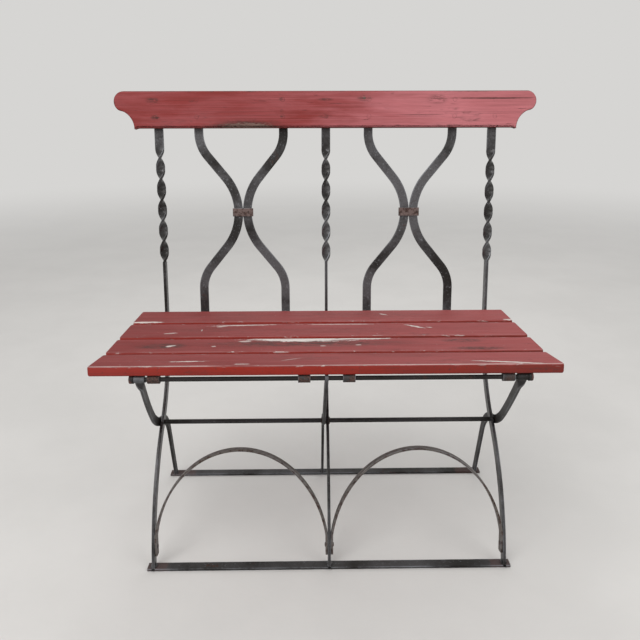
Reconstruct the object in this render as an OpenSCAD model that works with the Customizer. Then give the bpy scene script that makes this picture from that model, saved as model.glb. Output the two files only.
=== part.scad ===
// Folding garden bench for two: wrought flat-bar frame, wooden slats.
// Front faces -Y, +Z is up, the floor is Z = 0 and X = 0 is the middle.
// All sizes are millimetres and all angles are degrees.

/* [Seat] */
// Length of the four seat slats
seat_len = 759; // [700:1:820]
// Height of the front top edge of the seat above the floor
seat_front_h = 469; // [455:1:485]
// Width of the front slat
slat_w_front = 85; // [78:1:92]
// Width of the second slat
slat_w_second = 75; // [68:1:82]
// Width of the third slat
slat_w_third = 85; // [78:1:92]
// Width of the rear slat
slat_w_rear = 83; // [76:1:90]
// Gap between neighbouring seat slats
slat_gap = 11.5; // [8:0.5:14]
// Thickness of the seat slats
slat_t = 16; // [14:0.5:18]
// Fall of the seat from front to rear
seat_fall = 3; // [1:0.5:5]
// Extra rise of the front slat towards its front edge
front_rise = 6; // [2:0.5:8]
// Rounding of the long edges of the seat slats
slat_edge_r = 3; // [1:0.5:5]
// Rounding of the slats' corners seen from above
slat_corner_r = 6; // [3:0.5:12]
// Offset of the slats from the middle of the frame
seat_offset = -8; // [-12:1:12]
// Distance from the front edge of the seat back to the hinge rod
rod_in = 8; // [7:0.5:10]
// Space between the rear slat and the uprights, which the fold needs
back_gap = 14; // [13:0.5:20]

/* [Seat battens] */
// Width of the iron battens under the seat
batten_w = 20; // [16:0.5:24]
// Thickness of the iron battens
batten_t = 3.2; // [3:0.1:4]
// Distance of the outer battens from the middle
batten_x_outer = 284; // [280:1:286]
// Distance of the inner battens from the centre leg
batten_x_inner = 36; // [28:1:44]
// How far the battens reach past the middle of the rear rod
batten_tail = 1.5; // [1:0.5:2]

/* [Frame] */
// Distance of the outer uprights from the middle
upright_x = 341.5; // [330:0.5:360]
// Width of the flat bar of uprights and legs
bar_w = 18; // [16:0.5:20]
// Thickness of the flat bar of uprights and legs
bar_t = 6; // [5:0.5:7]
// Backward lean of the backrest
lean = 9; // [8:0.5:11]
// Radius of the bend just under the seat
bend_upper_r = 277; // [265:1:290]
// Steepest slope of the upright from the vertical
bend_mid = 57; // [57:0.5:59]
// Radius of the bend down to the front foot
bend_lower_r = 382; // [360:1:410]
// Height of the pivot rod above the floor
pivot_h = 231; // [228:1:240]
// Diameter of the rod that the legs fold about
pivot_d = 9.5; // [8:0.5:11]
// Diameter of the rear rod
rod_d = 8; // [7:0.5:9]
// Diameter of the seat hinge rod
hinge_d = 7.5; // [6:0.5:8]

/* [Backrest] */
// Length of the top slat, tip to tip
top_len = 850; // [800:1:900]
// Height of the top slat
top_h = 71; // [64:1:80]
// Thickness of the top slat
top_t = 17; // [15:0.5:17.5]
// Distance from the rear rod up to the top slat
top_start = 395; // [380:1:410]
// Radius of the rounded nose at each end of the top slat
nose_r = 20; // [17:0.5:21]
// Radius of the hollow cut under each nose
cove_r = 36.5; // [33:0.5:39]
// How far the bars stop below the top edge of the top slat
bar_top_in = 6; // [3:0.5:10]
// Where the twist of the uprights starts above the rear rod
twist_start = 122.5; // [110:1:140]
// Length of the twisted part
twist_len = 233; // [210:1:250]
// Half turns of the twist, in all
twist_halves = 5.5; // [3.5:1:7.5]

/* [Crossed scroll bars] */
// Distance from the middle to the middle of each crossed pair
scroll_x = 173.5; // [168:0.5:178]
// Half the spread of a pair at the top and at the bottom
scroll_half = 86.5; // [80:0.5:90]
// Thickness of the scroll bars
scroll_t = 5; // [4:0.5:6]
// Height of the waist above the rear rod
waist_h = 226; // [215:1:235]
// Radius of the bends near the top slat and near the rear rod
scroll_outer_r = 72; // [60:1:85]
// Radius of the bends at the waist
scroll_waist_r = 112; // [90:1:125]
// Slope of the straight part from the vertical
scroll_slope = 39.5; // [36:0.5:43]
// Height of the wrapped collar
collar_h = 17.5; // [14:0.5:22]
// Thickness of the collar's iron
collar_t = 2.5; // [2:0.1:3]

/* [Arches] */
// Width of the arch iron, across the arch
arch_w = 15; // [12:0.5:17]
// Thickness of the arch iron
arch_t = 4.5; // [3.5:0.5:5]
// Height above the floor where the arch ends
lap_low = 24; // [18:1:30]
// Height of the arch's top above the floor
arch_top = 235; // [220:1:245]
// Backward lean of the arches
arch_lean = 11; // [8:0.5:16]
// How far the arch's curve is wider than its laps, on each side
arch_bulge = 2.5; // [1:0.5:4]
// Height of the arch's widest place above its lower end
arch_wide_at = 3; // [0:1:15]

/* [Folding legs] */
// Distance from the front feet back to the rear feet
foot_span = 335; // [325:1:350]
// Distance of the rear feet from the middle
rear_foot_x = 363; // [352:0.5:366]
// Slope of the folding leg at the pivot, below the horizontal
leg_pivot_slope = 26; // [22:0.5:30]
// Slope of the folding leg where it bends down behind the pivot
leg_hump_slope = 16; // [12:0.5:20]
// Radius of the sag at the pivot
leg_sag_r = 140; // [120:1:160]
// Radius of the hump behind the pivot
leg_hump_r = 120; // [100:1:135]
// Offset of the centre folding leg from the middle
leg_centre_x = -8; // [-9:0.5:-8]
// Middle of the outer legs' eyes from the middle
eye_x = 307; // [306:0.5:309]
// Length of the outer legs' eyes along the hinge rod
eye_len = 17.5; // [14:0.5:17.5]
// Distance over which an outer leg turns from flat to edge-on
leg_turn = 36; // [30:1:60]

/* [Floor rails] */
// Width of the floor rails
rail_w = 20; // [16:0.5:24]
// Thickness of the floor rails
rail_t = 5; // [4:0.5:6]
// How far the rails reach past the outer legs
rail_over = 9; // [6:0.5:14]

/* [Fasteners] */
// Diameter of screws and rivets
pin_d = 4.4; // [3.6:0.2:5]
// Diameter of screw and rivet heads
head_d = 9; // [8:0.5:10]
// Height of screw and rivet heads
head_t = 1.6; // [1.2:0.1:2.4]
// Diameter of washers and rod heads on the pivot rod
washer_d = 15; // [13:0.5:16]
// Thickness of the pivot washers
washer_t = 1.6; // [1:0.1:1.6]
// Thickness of the heads at the ends of the hinge rod
rod_head_t = 7; // [5:0.5:9]
// Wall of the outer legs' eyes round the hinge rod
hinge_eye_wall = 2; // [1.5:0.25:3]

/* [Fits] */
// Play between a rod and its hole, all round
fit = 0.05; // [0.03:0.01:0.1]
// Play between a rivet or screw and its hole, all round
pin_fit = 0.1; // [0.05:0.05:0.15]
// Side play between parts that turn past each other
side_play = 0.2; // [0.15:0.05:0.3]

/* [Hidden] */
$fn = 48;

wood = [0.63, 0.25, 0.24];
iron = [0.26, 0.25, 0.25];
rust = [0.36, 0.29, 0.26];

// Seat line: a front part that rises to its edge and a flat rear part.
f_tilt = seat_fall + front_rise;
d1 = [cos(f_tilt), -sin(f_tilt)];
n1 = [sin(f_tilt), cos(f_tilt)];
d2 = [cos(seat_fall), -sin(seat_fall)];
n2 = [sin(seat_fall), cos(seat_fall)];
// The origin lies on the floor, midway between the front of the rolled
// batten ends and the back of the uprights' top ends.
knuckle_r = hinge_d / 2 + fit + batten_t;
roll_drop = 0.1;
rest_gap = 0.25;
rear_d = slat_gap / 2 + slat_w_second + slat_w_third + slat_w_rear + 2 * slat_gap
    + back_gap + bar_w / 2;
bar_top = top_start + top_h - bar_top_in;
bars_back = bar_t / 2;
to_hinge = d1 * rod_in - n1 * (slat_t + knuckle_r + roll_drop);
to_rear = d1 * (slat_w_front + slat_gap / 2) + d2 * rear_d
    - n2 * (slat_t + batten_t + rest_gap + rod_d / 2);
seat_front_y = -(to_hinge[0] - knuckle_r + to_rear[0]
    + bar_top * sin(lean) + bars_back * cos(lean)) / 2;
seat_f = [seat_front_y, seat_front_h];
seat_b = seat_f + d1 * (slat_w_front + slat_gap / 2);
second_at = slat_gap / 2;
third_at = second_at + slat_w_second + slat_gap;
rear_at = third_at + slat_w_third + slat_gap;

// Hinge rod under the front edge, with the battens rolled round it.
hinge = seat_f + to_hinge;
eye_r = hinge_d / 2 + fit + hinge_eye_wall;
hinge_head_r = knuckle_r - 0.2;

// Rear rod: the battens rest on it, the uprights hold it.
rear = seat_f + to_rear;

// Upright below the rear rod: two arcs down to the front foot.
function upper_at(a) = rear - bend_upper_r * [cos(lean) - cos(a), sin(a) - sin(lean)];
bend_p = upper_at(bend_mid);
function lower_at(a) = bend_p - bend_lower_r * [cos(a) - cos(bend_mid), sin(bend_mid) - sin(a)];
function lower_angle(z) = asin(sin(bend_mid) - (bend_p[1] - z) / bend_lower_r);
function upper_angle(z) = asin(sin(lean) + (rear[1] - z) / bend_upper_r);
foot_a = lower_angle(rail_t);
front_foot = lower_at(foot_a);
pivot = pivot_h > bend_p[1] ? upper_at(upper_angle(pivot_h)) : lower_at(lower_angle(pivot_h));

// Folding leg: straight, sag at the pivot, hump, straight to the rear foot.
leg_x = upright_x + bar_t + 2 * side_play + washer_t;
function dir_d(a) = [cos(a), -sin(a)];
function dir_n(a) = [sin(a), cos(a)];
sag_c = pivot + leg_sag_r * dir_n(leg_pivot_slope);
hump_p = sag_c - leg_sag_r * dir_n(leg_hump_slope);
hump_c = hump_p - leg_hump_r * dir_n(leg_hump_slope);
function below(v) = atan2(-v[1], v[0]);
front_slope = below(sag_c - hinge) + asin(leg_sag_r / norm(sag_c - hinge));
rear_foot = [front_foot[0] + foot_span, rail_t];
rear_slope = below(rear_foot - hump_c) + asin(leg_hump_r / norm(rear_foot - hump_c));
front_run = norm(sag_c - leg_sag_r * dir_n(front_slope) - hinge);
sag_run = leg_sag_r * (front_slope - leg_pivot_slope) * PI / 180;
past_run = leg_sag_r * (leg_pivot_slope - leg_hump_slope) * PI / 180;
hump_run = leg_hump_r * (rear_slope - leg_hump_slope) * PI / 180;
rear_run = norm(rear_foot - hump_c - leg_hump_r * dir_n(rear_slope));
leg_to_pivot = front_run + sag_run;
leg_total = leg_to_pivot + past_run + hump_run + rear_run;

// Place and slope of the leg at the distance s from the hinge rod.
function leg_slope(s) =
    s < front_run ? front_slope :
    s < leg_to_pivot + past_run ? front_slope - (s - front_run) / leg_sag_r * 180 / PI :
    s < leg_total - rear_run ?
        leg_hump_slope + (s - leg_to_pivot - past_run) / leg_hump_r * 180 / PI :
    rear_slope;
function leg_at(s) =
    s < front_run ? hinge + s * dir_d(front_slope) :
    s < leg_to_pivot + past_run ? sag_c - leg_sag_r * dir_n(leg_slope(s)) :
    s < leg_total - rear_run ? hump_c + leg_hump_r * dir_n(leg_slope(s)) :
    rear_foot - (leg_total - s) * dir_d(rear_slope);
flush = 45;
eye_clear = hinge_head_r + 0.6;
splay_power = 1.15;
function leg_out(s) =
    s < eye_clear ? eye_x :
    s < leg_to_pivot - flush ? leg_x - (leg_x - eye_x)
        * pow((leg_to_pivot - flush - s) / (leg_to_pivot - flush - eye_clear), splay_power) :
    s < leg_to_pivot + flush ? leg_x :
    leg_x + (rear_foot_x - leg_x) * (s - leg_to_pivot - flush) / (leg_total - leg_to_pivot - flush);
ease_from = 5;
function ease(t) = t < 0 ? 0 : t > 1 ? 1 : t * t * (3 - 2 * t);
function leg_spin(s) = -90 * (1 - ease((s - ease_from) / leg_turn));

// Arches: a straight lap on each leg, then half an ellipse. The rivets sit
// where the arches' plane crosses the middle line of the legs.
rivet_in = 18;
lap_mid = lower_at(lower_angle(lap_low + rivet_in));
rivet_up = rivet_in / cos(arch_lean);
lap_a = lap_mid - rivet_up * [sin(arch_lean), cos(arch_lean)];
arch_half = (upright_x - bar_t - arch_t) / 2;
arch_mid = upright_x / 2;
arch_across = arch_half + arch_bulge;
arch_up = (arch_top - lap_low) / cos(arch_lean) - arch_t / 2 - arch_wide_at;
arch_a = acos(arch_half / arch_across);
lap_len = arch_wide_at + arch_up * sin(arch_a);

// Backrest sizes along the lean, measured from the rear rod.
twist_end = twist_start + twist_len;
twist_n = 88;
// Forged parts are set in by a hair where they run into a bar's own faces.
inset = 0.05;
scroll_pin_x = [-scroll_x - scroll_half, -scroll_x + scroll_half,
    scroll_x - scroll_half, scroll_x + scroll_half];
screw_rows = [0.3, 0.76];
cove_in = 2;
cove_drop = 1;
scroll_set = (bar_t - scroll_t) / 2;
touch = 0.1;
eye_wall = 3;
waist_x = bar_w / 2 + touch;
scroll_run = (scroll_half - waist_x
    - (scroll_outer_r + scroll_waist_r) * (1 - cos(scroll_slope))) / sin(scroll_slope);
collar_in = waist_x + bar_w / 2 + 0.55;

module back_frame() translate([0, rear[0], rear[1]]) rotate([-lean, 0, 0]) children();
module front_seat() translate([0, seat_f[0], seat_f[1]]) rotate([-f_tilt, 0, 0]) children();
module rear_seat() translate([0, seat_b[0], seat_b[1]]) rotate([-seat_fall, 0, 0]) children();
module arch_plane() translate([0, lap_a[0], lap_a[1]]) rotate([-arch_lean, 0, 0]) children();
// Extrudes a YZ outline along X, centred on the given X.
module along_x(len, x = 0) translate([x - len / 2, 0, 0]) rotate([90, 0, 90])
    linear_extrude(len) children();
module rod_x(r, x0, x1, p) translate([x0, p[0], p[1]]) rotate([0, 90, 0])
    cylinder(r = r, h = x1 - x0);
module round_rect(w, h, r) {
    translate([r, 0]) square([w - 2 * r, h]);
    translate([0, r]) square([w, h - 2 * r]);
    for (x = [r, w - r], y = [r, h - r]) translate([x, y]) circle(r);
}
// Domed head that grows along +Z from its flat face.
module head(d, t) rotate_extrude() polygon([[0, 0], [d / 2, 0], [d / 2, t * 0.3],
    [d * 0.42, t * 0.66], [d * 0.28, t * 0.9], [d * 0.12, t], [0, t]]);

// Flat head with broken edges, which grows along +Z.
module block_head(r, t) rotate_extrude() polygon([[0, 0], [r, 0], [r, t - 1], [r - 1, t], [0, t]]);

// Outline of a bar whose middle line runs through points with given normals.
function band(p, n, w) = concat([for (i = [0:len(p) - 1]) p[i] + n[i] * w / 2],
    [for (i = [len(p) - 1:-1:0]) p[i] - n[i] * w / 2]);

// Top slat
module top_outline() {
    difference() {
        union() {
            translate([-top_len / 2 + nose_r, 0]) square([top_len - 2 * nose_r, top_h]);
            for (s = [-1, 1]) translate([s * (top_len / 2 - nose_r), top_h - nose_r])
                circle(nose_r, $fn = 96);
        }
        for (s = [-1, 1]) translate([s * (top_len / 2 - cove_in), -cove_drop])
            circle(cove_r, $fn = 96);
    }
}
module top_slat() color(wood) back_frame() difference() {
    translate([0, -bars_back, top_start]) rotate([90, 0, 0]) linear_extrude(top_t) top_outline();
    for (x = concat([-upright_x, 0, upright_x], scroll_pin_x), k = screw_rows)
        translate([x, 0, top_start + top_h * k]) rotate([90, 0, 0])
            cylinder(d = pin_d + 2 * pin_fit, h = 60, center = true);
}

// Tenons at the feet
tenon_len = 10;
tenon_up = 0.3;
module tenon(x, y) translate([x - bar_t / 2 + 2 * inset, y - tenon_len / 2, tenon_up])
    cube([bar_t - 4 * inset, tenon_len, rail_t + 2]);
// Cuts a bar off level with the top of its floor rail.
module foot_cut(x, y) translate([x - bar_w, y - 4 * bar_w, -3 * bar_w])
    cube([2 * bar_w, 8 * bar_w, 3 * bar_w + rail_t]);

// Uprights: curved foot, edge-on blade, twist and flat top
module upright(x) color(iron) { upright_bar(x); tenon(x, front_foot[0]); }
module upright_bar(x) difference() {
    union() {
        along_x(bar_t, x) {
            steps = 12;
            up = [sin(lean), cos(lean)];
            side = [cos(lean), -sin(lean)];
            a_end = foot_a - 4;
            pts = concat([rear + up * (twist_start + touch)],
                [for (i = [0:steps]) upper_at(lean + (bend_mid - lean) * i / steps)],
                [for (i = [1:steps]) lower_at(bend_mid + (a_end - bend_mid) * i / steps)]);
            nrm = concat([side],
                [for (i = [0:steps]) let (a = lean + (bend_mid - lean) * i / steps)
                    [cos(a), -sin(a)]],
                [for (i = [1:steps]) let (a = bend_mid + (a_end - bend_mid) * i / steps)
                    [cos(a), -sin(a)]]);
            polygon(band(pts, nrm, bar_w));
        }
        back_frame() {
            translate([x, 0, 0]) sweep([for (i = [0:twist_n]) let (
                    z = twist_start + twist_len * i / twist_n,
                    a = 90 + twist_halves * 180 * i / twist_n)
                [for (c = [[1, 1], [-1, 1], [-1, -1], [1, -1]])
                    [c[0] * (bar_w / 2 - inset) * cos(a) - c[1] * (bar_t / 2 - inset) * sin(a),
                        c[0] * (bar_w / 2 - inset) * sin(a) + c[1] * (bar_t / 2 - inset) * cos(a),
                        z]]]);
            translate([x - bar_w / 2, -bar_t / 2, twist_end - touch])
                cube([bar_w, bar_t, bar_top - twist_end + touch]);
        }
    }
    foot_cut(x, front_foot[0]);
    rod_x(rod_d / 2 + fit, x - 20, x + 20, rear);
    rod_x(pivot_d / 2 + fit, x - 20, x + 20, pivot);
    back_frame() for (k = screw_rows) translate([x, 0, top_start + top_h * k])
        rotate([90, 0, 0]) cylinder(d = pin_d + 2 * pin_fit, h = 40, center = true);
    arch_plane() translate([x - 20, 0, rivet_up]) rotate([0, 90, 0])
        cylinder(d = pin_d + 2 * pin_fit, h = 40);
}
module upright_left() upright(-upright_x);
module upright_centre() upright(0);
module upright_right() upright(upright_x);

// Scroll bars: half of a crossed pair, s is the side it bows to
function bow(r, a0, a1, c, k) = [for (i = [0:k]) let (a = a0 + (a1 - a0) * i / k)
    [c[0] + r * cos(a), c[1] + r * sin(a)]];
module scroll(xm, s, sign_x) color(iron) {
    sl = scroll_slope;
    v1 = scroll_waist_r * sin(sl);
    x1 = waist_x + scroll_waist_r * (1 - cos(sl));
    x2 = x1 + scroll_run * sin(sl);
    v2 = v1 + scroll_run * cos(sl);
    v3 = v2 + scroll_outer_r * sin(sl);
    n = 8;
    half_p = concat([for (i = [0:n]) let (a = sl * i / n)
            [waist_x + scroll_waist_r * (1 - cos(a)), scroll_waist_r * sin(a)]],
        [for (i = [0:n]) let (a = sl * (1 - i / n))
            [scroll_half - scroll_outer_r * (1 - cos(a)), v3 - scroll_outer_r * sin(a)]]);
    half_n = concat([for (i = [0:n]) let (a = sl * i / n) [cos(a), -sin(a)]],
        [for (i = [0:n]) let (a = sl * (1 - i / n)) [cos(a), -sin(a)]]);
    m = len(half_p) - 1;
    pts = concat([[scroll_half, -waist_h]],
        [for (i = [m:-1:1]) [half_p[i][0], -half_p[i][1]]], half_p,
        [[scroll_half, bar_top - waist_h]]);
    nrm = concat([[1, 0]], [for (i = [m:-1:1]) [half_n[i][0], -half_n[i][1]]], half_n, [[1, 0]]);
    difference() {
        union() {
            back_frame() translate([xm, scroll_t / 2 - scroll_set, waist_h]) rotate([90, 0, 0])
                linear_extrude(scroll_t) scale([sign_x, 1]) polygon(band(pts, nrm, bar_w));
            rod_x(rod_d / 2 + fit + eye_wall, xm + sign_x * scroll_half - bar_w / 2 + 2 * inset,
                xm + sign_x * scroll_half + bar_w / 2 - 2 * inset, rear);
        }
        rod_x(rod_d / 2 + fit, xm + sign_x * scroll_half - 20, xm + sign_x * scroll_half + 20, rear);
        back_frame() for (k = screw_rows)
            translate([xm + sign_x * scroll_half, 0, top_start + top_h * k]) rotate([90, 0, 0])
                cylinder(d = pin_d + 2 * pin_fit, h = 40, center = true);
    }
}
module scroll_left_outer() scroll(-scroll_x, 1, -1);
module scroll_left_inner() scroll(-scroll_x, 1, 1);
module scroll_right_inner() scroll(scroll_x, 1, -1);
module scroll_right_outer() scroll(scroll_x, 1, 1);

// Collars wrapped round the waist of each pair
module collar(x) color(rust) back_frame() translate([x, -scroll_set, waist_h])
    difference() {
        cube([2 * (collar_in + collar_t), scroll_t + 2 * (touch + collar_t), collar_h],
            center = true);
        cube([2 * collar_in, scroll_t + 2 * touch, collar_h + 2], center = true);
    }
module collar_left() collar(-scroll_x);
module collar_right() collar(scroll_x);

// Rods: the rear one has nuts on its ends, the other two are headed
rear_rod_x = upright_x + bar_t / 2 + side_play;
module rear_rod() color(iron) rod_x(rod_d / 2, -rear_rod_x, rear_rod_x, rear);
module rear_nuts() color(rust) for (s = [-1, 1]) translate([s * rear_rod_x, rear[0], rear[1]])
    rotate([0, s * 90, 0]) head(rod_d + 4, 3);
pivot_x = leg_x + bar_t / 2 + 2 * side_play + washer_t;
module pivot_rod() color(iron) {
    rod_x(pivot_d / 2, -pivot_x, pivot_x, pivot);
    for (s = [-1, 1]) translate([s * pivot_x, pivot[0], pivot[1]])
        rotate([0, s * 90, 0]) head(pivot_d + 5, 3.5);
}
hinge_x = eye_x + max(eye_len, bar_w) / 2 + inset;
module hinge_rod() color(iron) {
    rod_x(hinge_d / 2, -hinge_x, hinge_x, hinge);
    for (s = [-1, 1]) translate([s * hinge_x, hinge[0], hinge[1]])
        rotate([0, s * 90, 0]) block_head(hinge_head_r, rod_head_t);
}
// Washers on the pivot rod: between the crossing bars, outside and at the centre
function centre_washers() = [bar_t / 2 + side_play, leg_centre_x - bar_t / 2 - side_play - washer_t,
    leg_centre_x + bar_t / 2 + (-leg_centre_x - bar_t - washer_t) / 2];
module washer(x, t) difference() {
    rod_x(washer_d / 2, x, x + t, pivot);
    rod_x(pivot_d / 2 + fit, x - 1, x + t + 1, pivot);
}
module pivot_washers() color(rust) {
    for (s = [-1, 1]) {
        a = s * (upright_x + bar_t / 2 + side_play);
        washer(s > 0 ? a : a - washer_t, washer_t);
        b = s * (leg_x + bar_t / 2 + side_play);
        washer(s > 0 ? b : b - washer_t, washer_t);
    }
    for (x = centre_washers()) washer(x, washer_t);
}

// Floor rails, with slots for the tenons of the legs
module rail(y, half, xs) difference() {
    translate([-half, y - rail_w / 2, 0]) cube([2 * half, rail_w, rail_t]);
    for (x = xs) translate([x - bar_t / 2 - pin_fit, y - tenon_len / 2 - pin_fit, -1])
        cube([bar_t + 2 * pin_fit, tenon_len + 2 * pin_fit, rail_t + 2]);
}
module front_rail() color(iron)
    rail(front_foot[0], upright_x + bar_t / 2 + rail_over, [-upright_x, 0, upright_x]);
module rear_rail() color(iron)
    rail(rear_foot[0], rear_foot_x + bar_t / 2 + rail_over,
        [-rear_foot_x, leg_centre_x, rear_foot_x]);

// Arches between the front legs
function arch_side() = concat([[-arch_half, 0], [-arch_half, lap_len]],
    [for (i = [1:arch_n]) let (a = arch_a + (90 - arch_a) * i / arch_n)
        [-arch_across * cos(a), arch_wide_at + arch_up * sin(a)]]);
function arch_side_n() = concat([[1, 0], [1, 0]],
    [for (i = [1:arch_n]) let (a = arch_a + (90 - arch_a) * i / arch_n,
        v = [arch_up * cos(a), -arch_across * sin(a)]) v / norm(v)]);
arch_n = 22;
function both(p) = concat(p, [for (i = [len(p) - 2:-1:0]) [-p[i][0], p[i][1]]]);
module arch(s) color(iron) arch_plane() difference() {
    translate([s * arch_mid, arch_w / 2, 0]) rotate([90, 0, 0]) linear_extrude(arch_w)
        polygon(band(both(arch_side()), both(arch_side_n()), arch_t));
    for (k = [-1, 1]) {
        translate([s * arch_mid + k * arch_half - 10, 0, rivet_up]) rotate([0, 90, 0])
            cylinder(d = pin_d + 2 * pin_fit, h = 20);
        translate([s * arch_mid + k * (arch_half - arch_t / 2), 0, 0]) rotate([0, k * 40, 0])
            cube([arch_t * 2, arch_w * 2, arch_t], center = true);
    }
}
module arch_left() arch(-1);
module arch_right() arch(1);
// Rivets through the laps: one per outer leg and one through the centre leg
module arch_rivets() color(rust) arch_plane() {
    for (s = [-1, 1]) {
        a = upright_x + bar_t / 2;
        b = upright_x - bar_t / 2 - arch_t;
        translate([s > 0 ? b : -a, 0, rivet_up]) rotate([0, 90, 0])
            cylinder(d = pin_d, h = a - b);
        translate([s * a, 0, rivet_up]) rotate([0, s * 90, 0]) head(head_d, head_t);
        translate([s * b, 0, rivet_up]) rotate([0, -s * 90, 0]) head(head_d, head_t);
    }
    c = bar_t / 2 + arch_t;
    translate([-c, 0, rivet_up]) rotate([0, 90, 0]) cylinder(d = pin_d, h = 2 * c);
    for (s = [-1, 1]) translate([s * c, 0, rivet_up]) rotate([0, s * 90, 0]) head(head_d, head_t);
}

// Screws through the bars into the top slat, headed front and back
module top_screws() color(wood) back_frame()
    for (x = concat([-upright_x, 0, upright_x], scroll_pin_x), k = screw_rows) {
        flat = abs(x) == upright_x || x == 0;
        back = flat ? bars_back : scroll_t / 2 - scroll_set;
        translate([x, back, top_start + top_h * k]) rotate([90, 0, 0])
            cylinder(d = pin_d, h = back + bars_back + top_t);
        translate([x, back, top_start + top_h * k]) rotate([-90, 0, 0]) head(head_d, head_t);
        translate([x, -bars_back - top_t, top_start + top_h * k]) rotate([90, 0, 0])
            head(head_d, head_t * 0.5);
    }

// Folding legs: one swept bar each, with an eye on the hinge rod
function leg_ring(s, x, w, spin) = let (p = leg_at(s), n = dir_n(leg_slope(s)),
    a = w / 2, b = bar_t / 2,
    u = [sin(spin), cos(spin) * n[0], cos(spin) * n[1]],
    v = [cos(spin), -sin(spin) * n[0], -sin(spin) * n[1]])
    [for (c = [[1, 1], [-1, 1], [-1, -1], [1, -1]])
        [x, p[0], p[1]] + a * c[0] * u + b * c[1] * v];
module sweep(rings) {
    n = len(rings);
    polyhedron(points = [for (r = rings) for (q = r) q],
        faces = concat([[0, 1, 2, 3]], [[for (k = [3:-1:0]) 4 * (n - 1) + k]],
            [for (i = [0:n - 2], k = [0:3]) let (j = (k + 1) % 4)
                each [[4 * i + k, 4 * i + 4 + k, 4 * i + j],
                    [4 * i + j, 4 * i + 4 + k, 4 * i + 4 + j]]]));
}
eye_start = hinge_d / 2 + fit + 1;
turn_n = 24;
bend_n = 40;
turn_end = eye_clear + ease_from + leg_turn;
bend_end = leg_total - rear_run;
function leg_steps() = concat([eye_start],
    [for (i = [0:turn_n - 1]) eye_clear + (turn_end - eye_clear) * i / turn_n],
    [for (i = [0:bend_n]) turn_end + (bend_end - turn_end) * i / bend_n], [leg_total + 6]);
module outer_leg(s) color(iron) {
    difference() {
        union() {
            if (s > 0) sweep([for (q = leg_steps()) leg_ring(q, leg_out(q), bar_w, leg_spin(q))]);
            else mirror([1, 0, 0])
                sweep([for (q = leg_steps()) leg_ring(q, leg_out(q), bar_w, leg_spin(q))]);
            rod_x(eye_r, s > 0 ? eye_x - eye_len / 2 : -eye_x - eye_len / 2,
                s > 0 ? eye_x + eye_len / 2 : -eye_x + eye_len / 2, hinge);
        }
        rod_x(hinge_d / 2 + fit, -s * 20 + s * eye_x - 40, -s * 20 + s * eye_x + 80, hinge);
        rod_x(pivot_d / 2 + fit, s * leg_x - 20, s * leg_x + 20, pivot);
        foot_cut(s * rear_foot_x, rear_foot[0]);
    }
    tenon(s * rear_foot_x, rear_foot[0]);
}
module leg_left() outer_leg(-1);
module leg_right() outer_leg(1);
centre_narrow = 9;
function centre_w(s) = centre_narrow + (bar_w - centre_narrow) * ease((s - 8) / 60);
module leg_centre() color(iron) {
    difference() {
        union() {
            sweep([for (q = leg_steps()) leg_ring(q, leg_centre_x, centre_w(q), 0)]);
            rod_x(eye_r, leg_centre_x - bar_t / 2 + inset, leg_centre_x + bar_t / 2 - inset, hinge);
        }
        rod_x(hinge_d / 2 + fit, leg_centre_x - 20, leg_centre_x + 20, hinge);
        rod_x(pivot_d / 2 + fit, leg_centre_x - 20, leg_centre_x + 20, pivot);
        foot_cut(leg_centre_x, rear_foot[0]);
    }
    tenon(leg_centre_x, rear_foot[0]);
}

// Seat slats
screw_up = slat_t * 0.7;
batten_xs = [-batten_x_outer, leg_centre_x - batten_x_inner,
    leg_centre_x + batten_x_inner, batten_x_outer];
module slat(y0, w) difference() {
    intersection() {
        translate([0, y0, -slat_t]) along_x(seat_len, seat_offset) round_rect(w, slat_t, slat_edge_r);
        translate([seat_offset - seat_len / 2, y0, -slat_t]) linear_extrude(slat_t)
            round_rect(seat_len, w, slat_corner_r);
    }
    for (x = batten_xs) translate([x, y0 + w / 2, -slat_t - 1])
        cylinder(d = pin_d + 2 * pin_fit, h = 1 + screw_up + 0.3);
}
module seat_slat_front() color(wood) front_seat() slat(0, slat_w_front);
module seat_slat_second() color(wood) rear_seat() slat(second_at, slat_w_second);
module seat_slat_third() color(wood) rear_seat() slat(third_at, slat_w_third);
module seat_slat_rear() color(wood) rear_seat() slat(rear_at, slat_w_rear);

// Battens: flat iron under the slats, rolled round the hinge rod at the front
function seat_mitre(q) = seat_b - q * (n1 + n2) / (1 + n1 * n2);
module batten(x) color(iron) difference() {
    t0 = seat_f + d1 * rod_in - n1 * slat_t;
    t2 = seat_b + d2 * (rear_d + batten_tail) - n2 * slat_t;
    union() {
        along_x(batten_w, x) polygon([t0, seat_mitre(slat_t), t2, t2 - n2 * batten_t,
            seat_mitre(slat_t + batten_t), t0 - n1 * batten_t]);
        rod_x(knuckle_r, x - batten_w / 2, x + batten_w / 2, hinge);
    }
    rod_x(hinge_d / 2 + fit, x - 20, x + 20, hinge);
    front_seat() translate([x, slat_w_front / 2, -slat_t - 10])
        cylinder(d = pin_d + 2 * pin_fit, h = 12);
    rear_seat() for (y = [second_at + slat_w_second / 2, third_at + slat_w_third / 2,
        rear_at + slat_w_rear / 2]) translate([x, y, -slat_t - 10])
            cylinder(d = pin_d + 2 * pin_fit, h = 12);
}
module batten_left() batten(batten_xs[0]);
module batten_inner_left() batten(batten_xs[1]);
module batten_inner_right() batten(batten_xs[2]);
module batten_right() batten(batten_xs[3]);

// Screws up through the battens into the slats
module seat_screw() translate([0, 0, -slat_t - batten_t]) {
    cylinder(d = pin_d, h = batten_t + screw_up);
    rotate([180, 0, 0]) head(head_d, head_t);
}
module seat_screws() color(rust) for (x = batten_xs) {
    front_seat() translate([x, slat_w_front / 2, 0]) seat_screw();
    rear_seat() for (y = [second_at + slat_w_second / 2, third_at + slat_w_third / 2,
        rear_at + slat_w_rear / 2]) translate([x, y, 0]) seat_screw();
}

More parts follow.
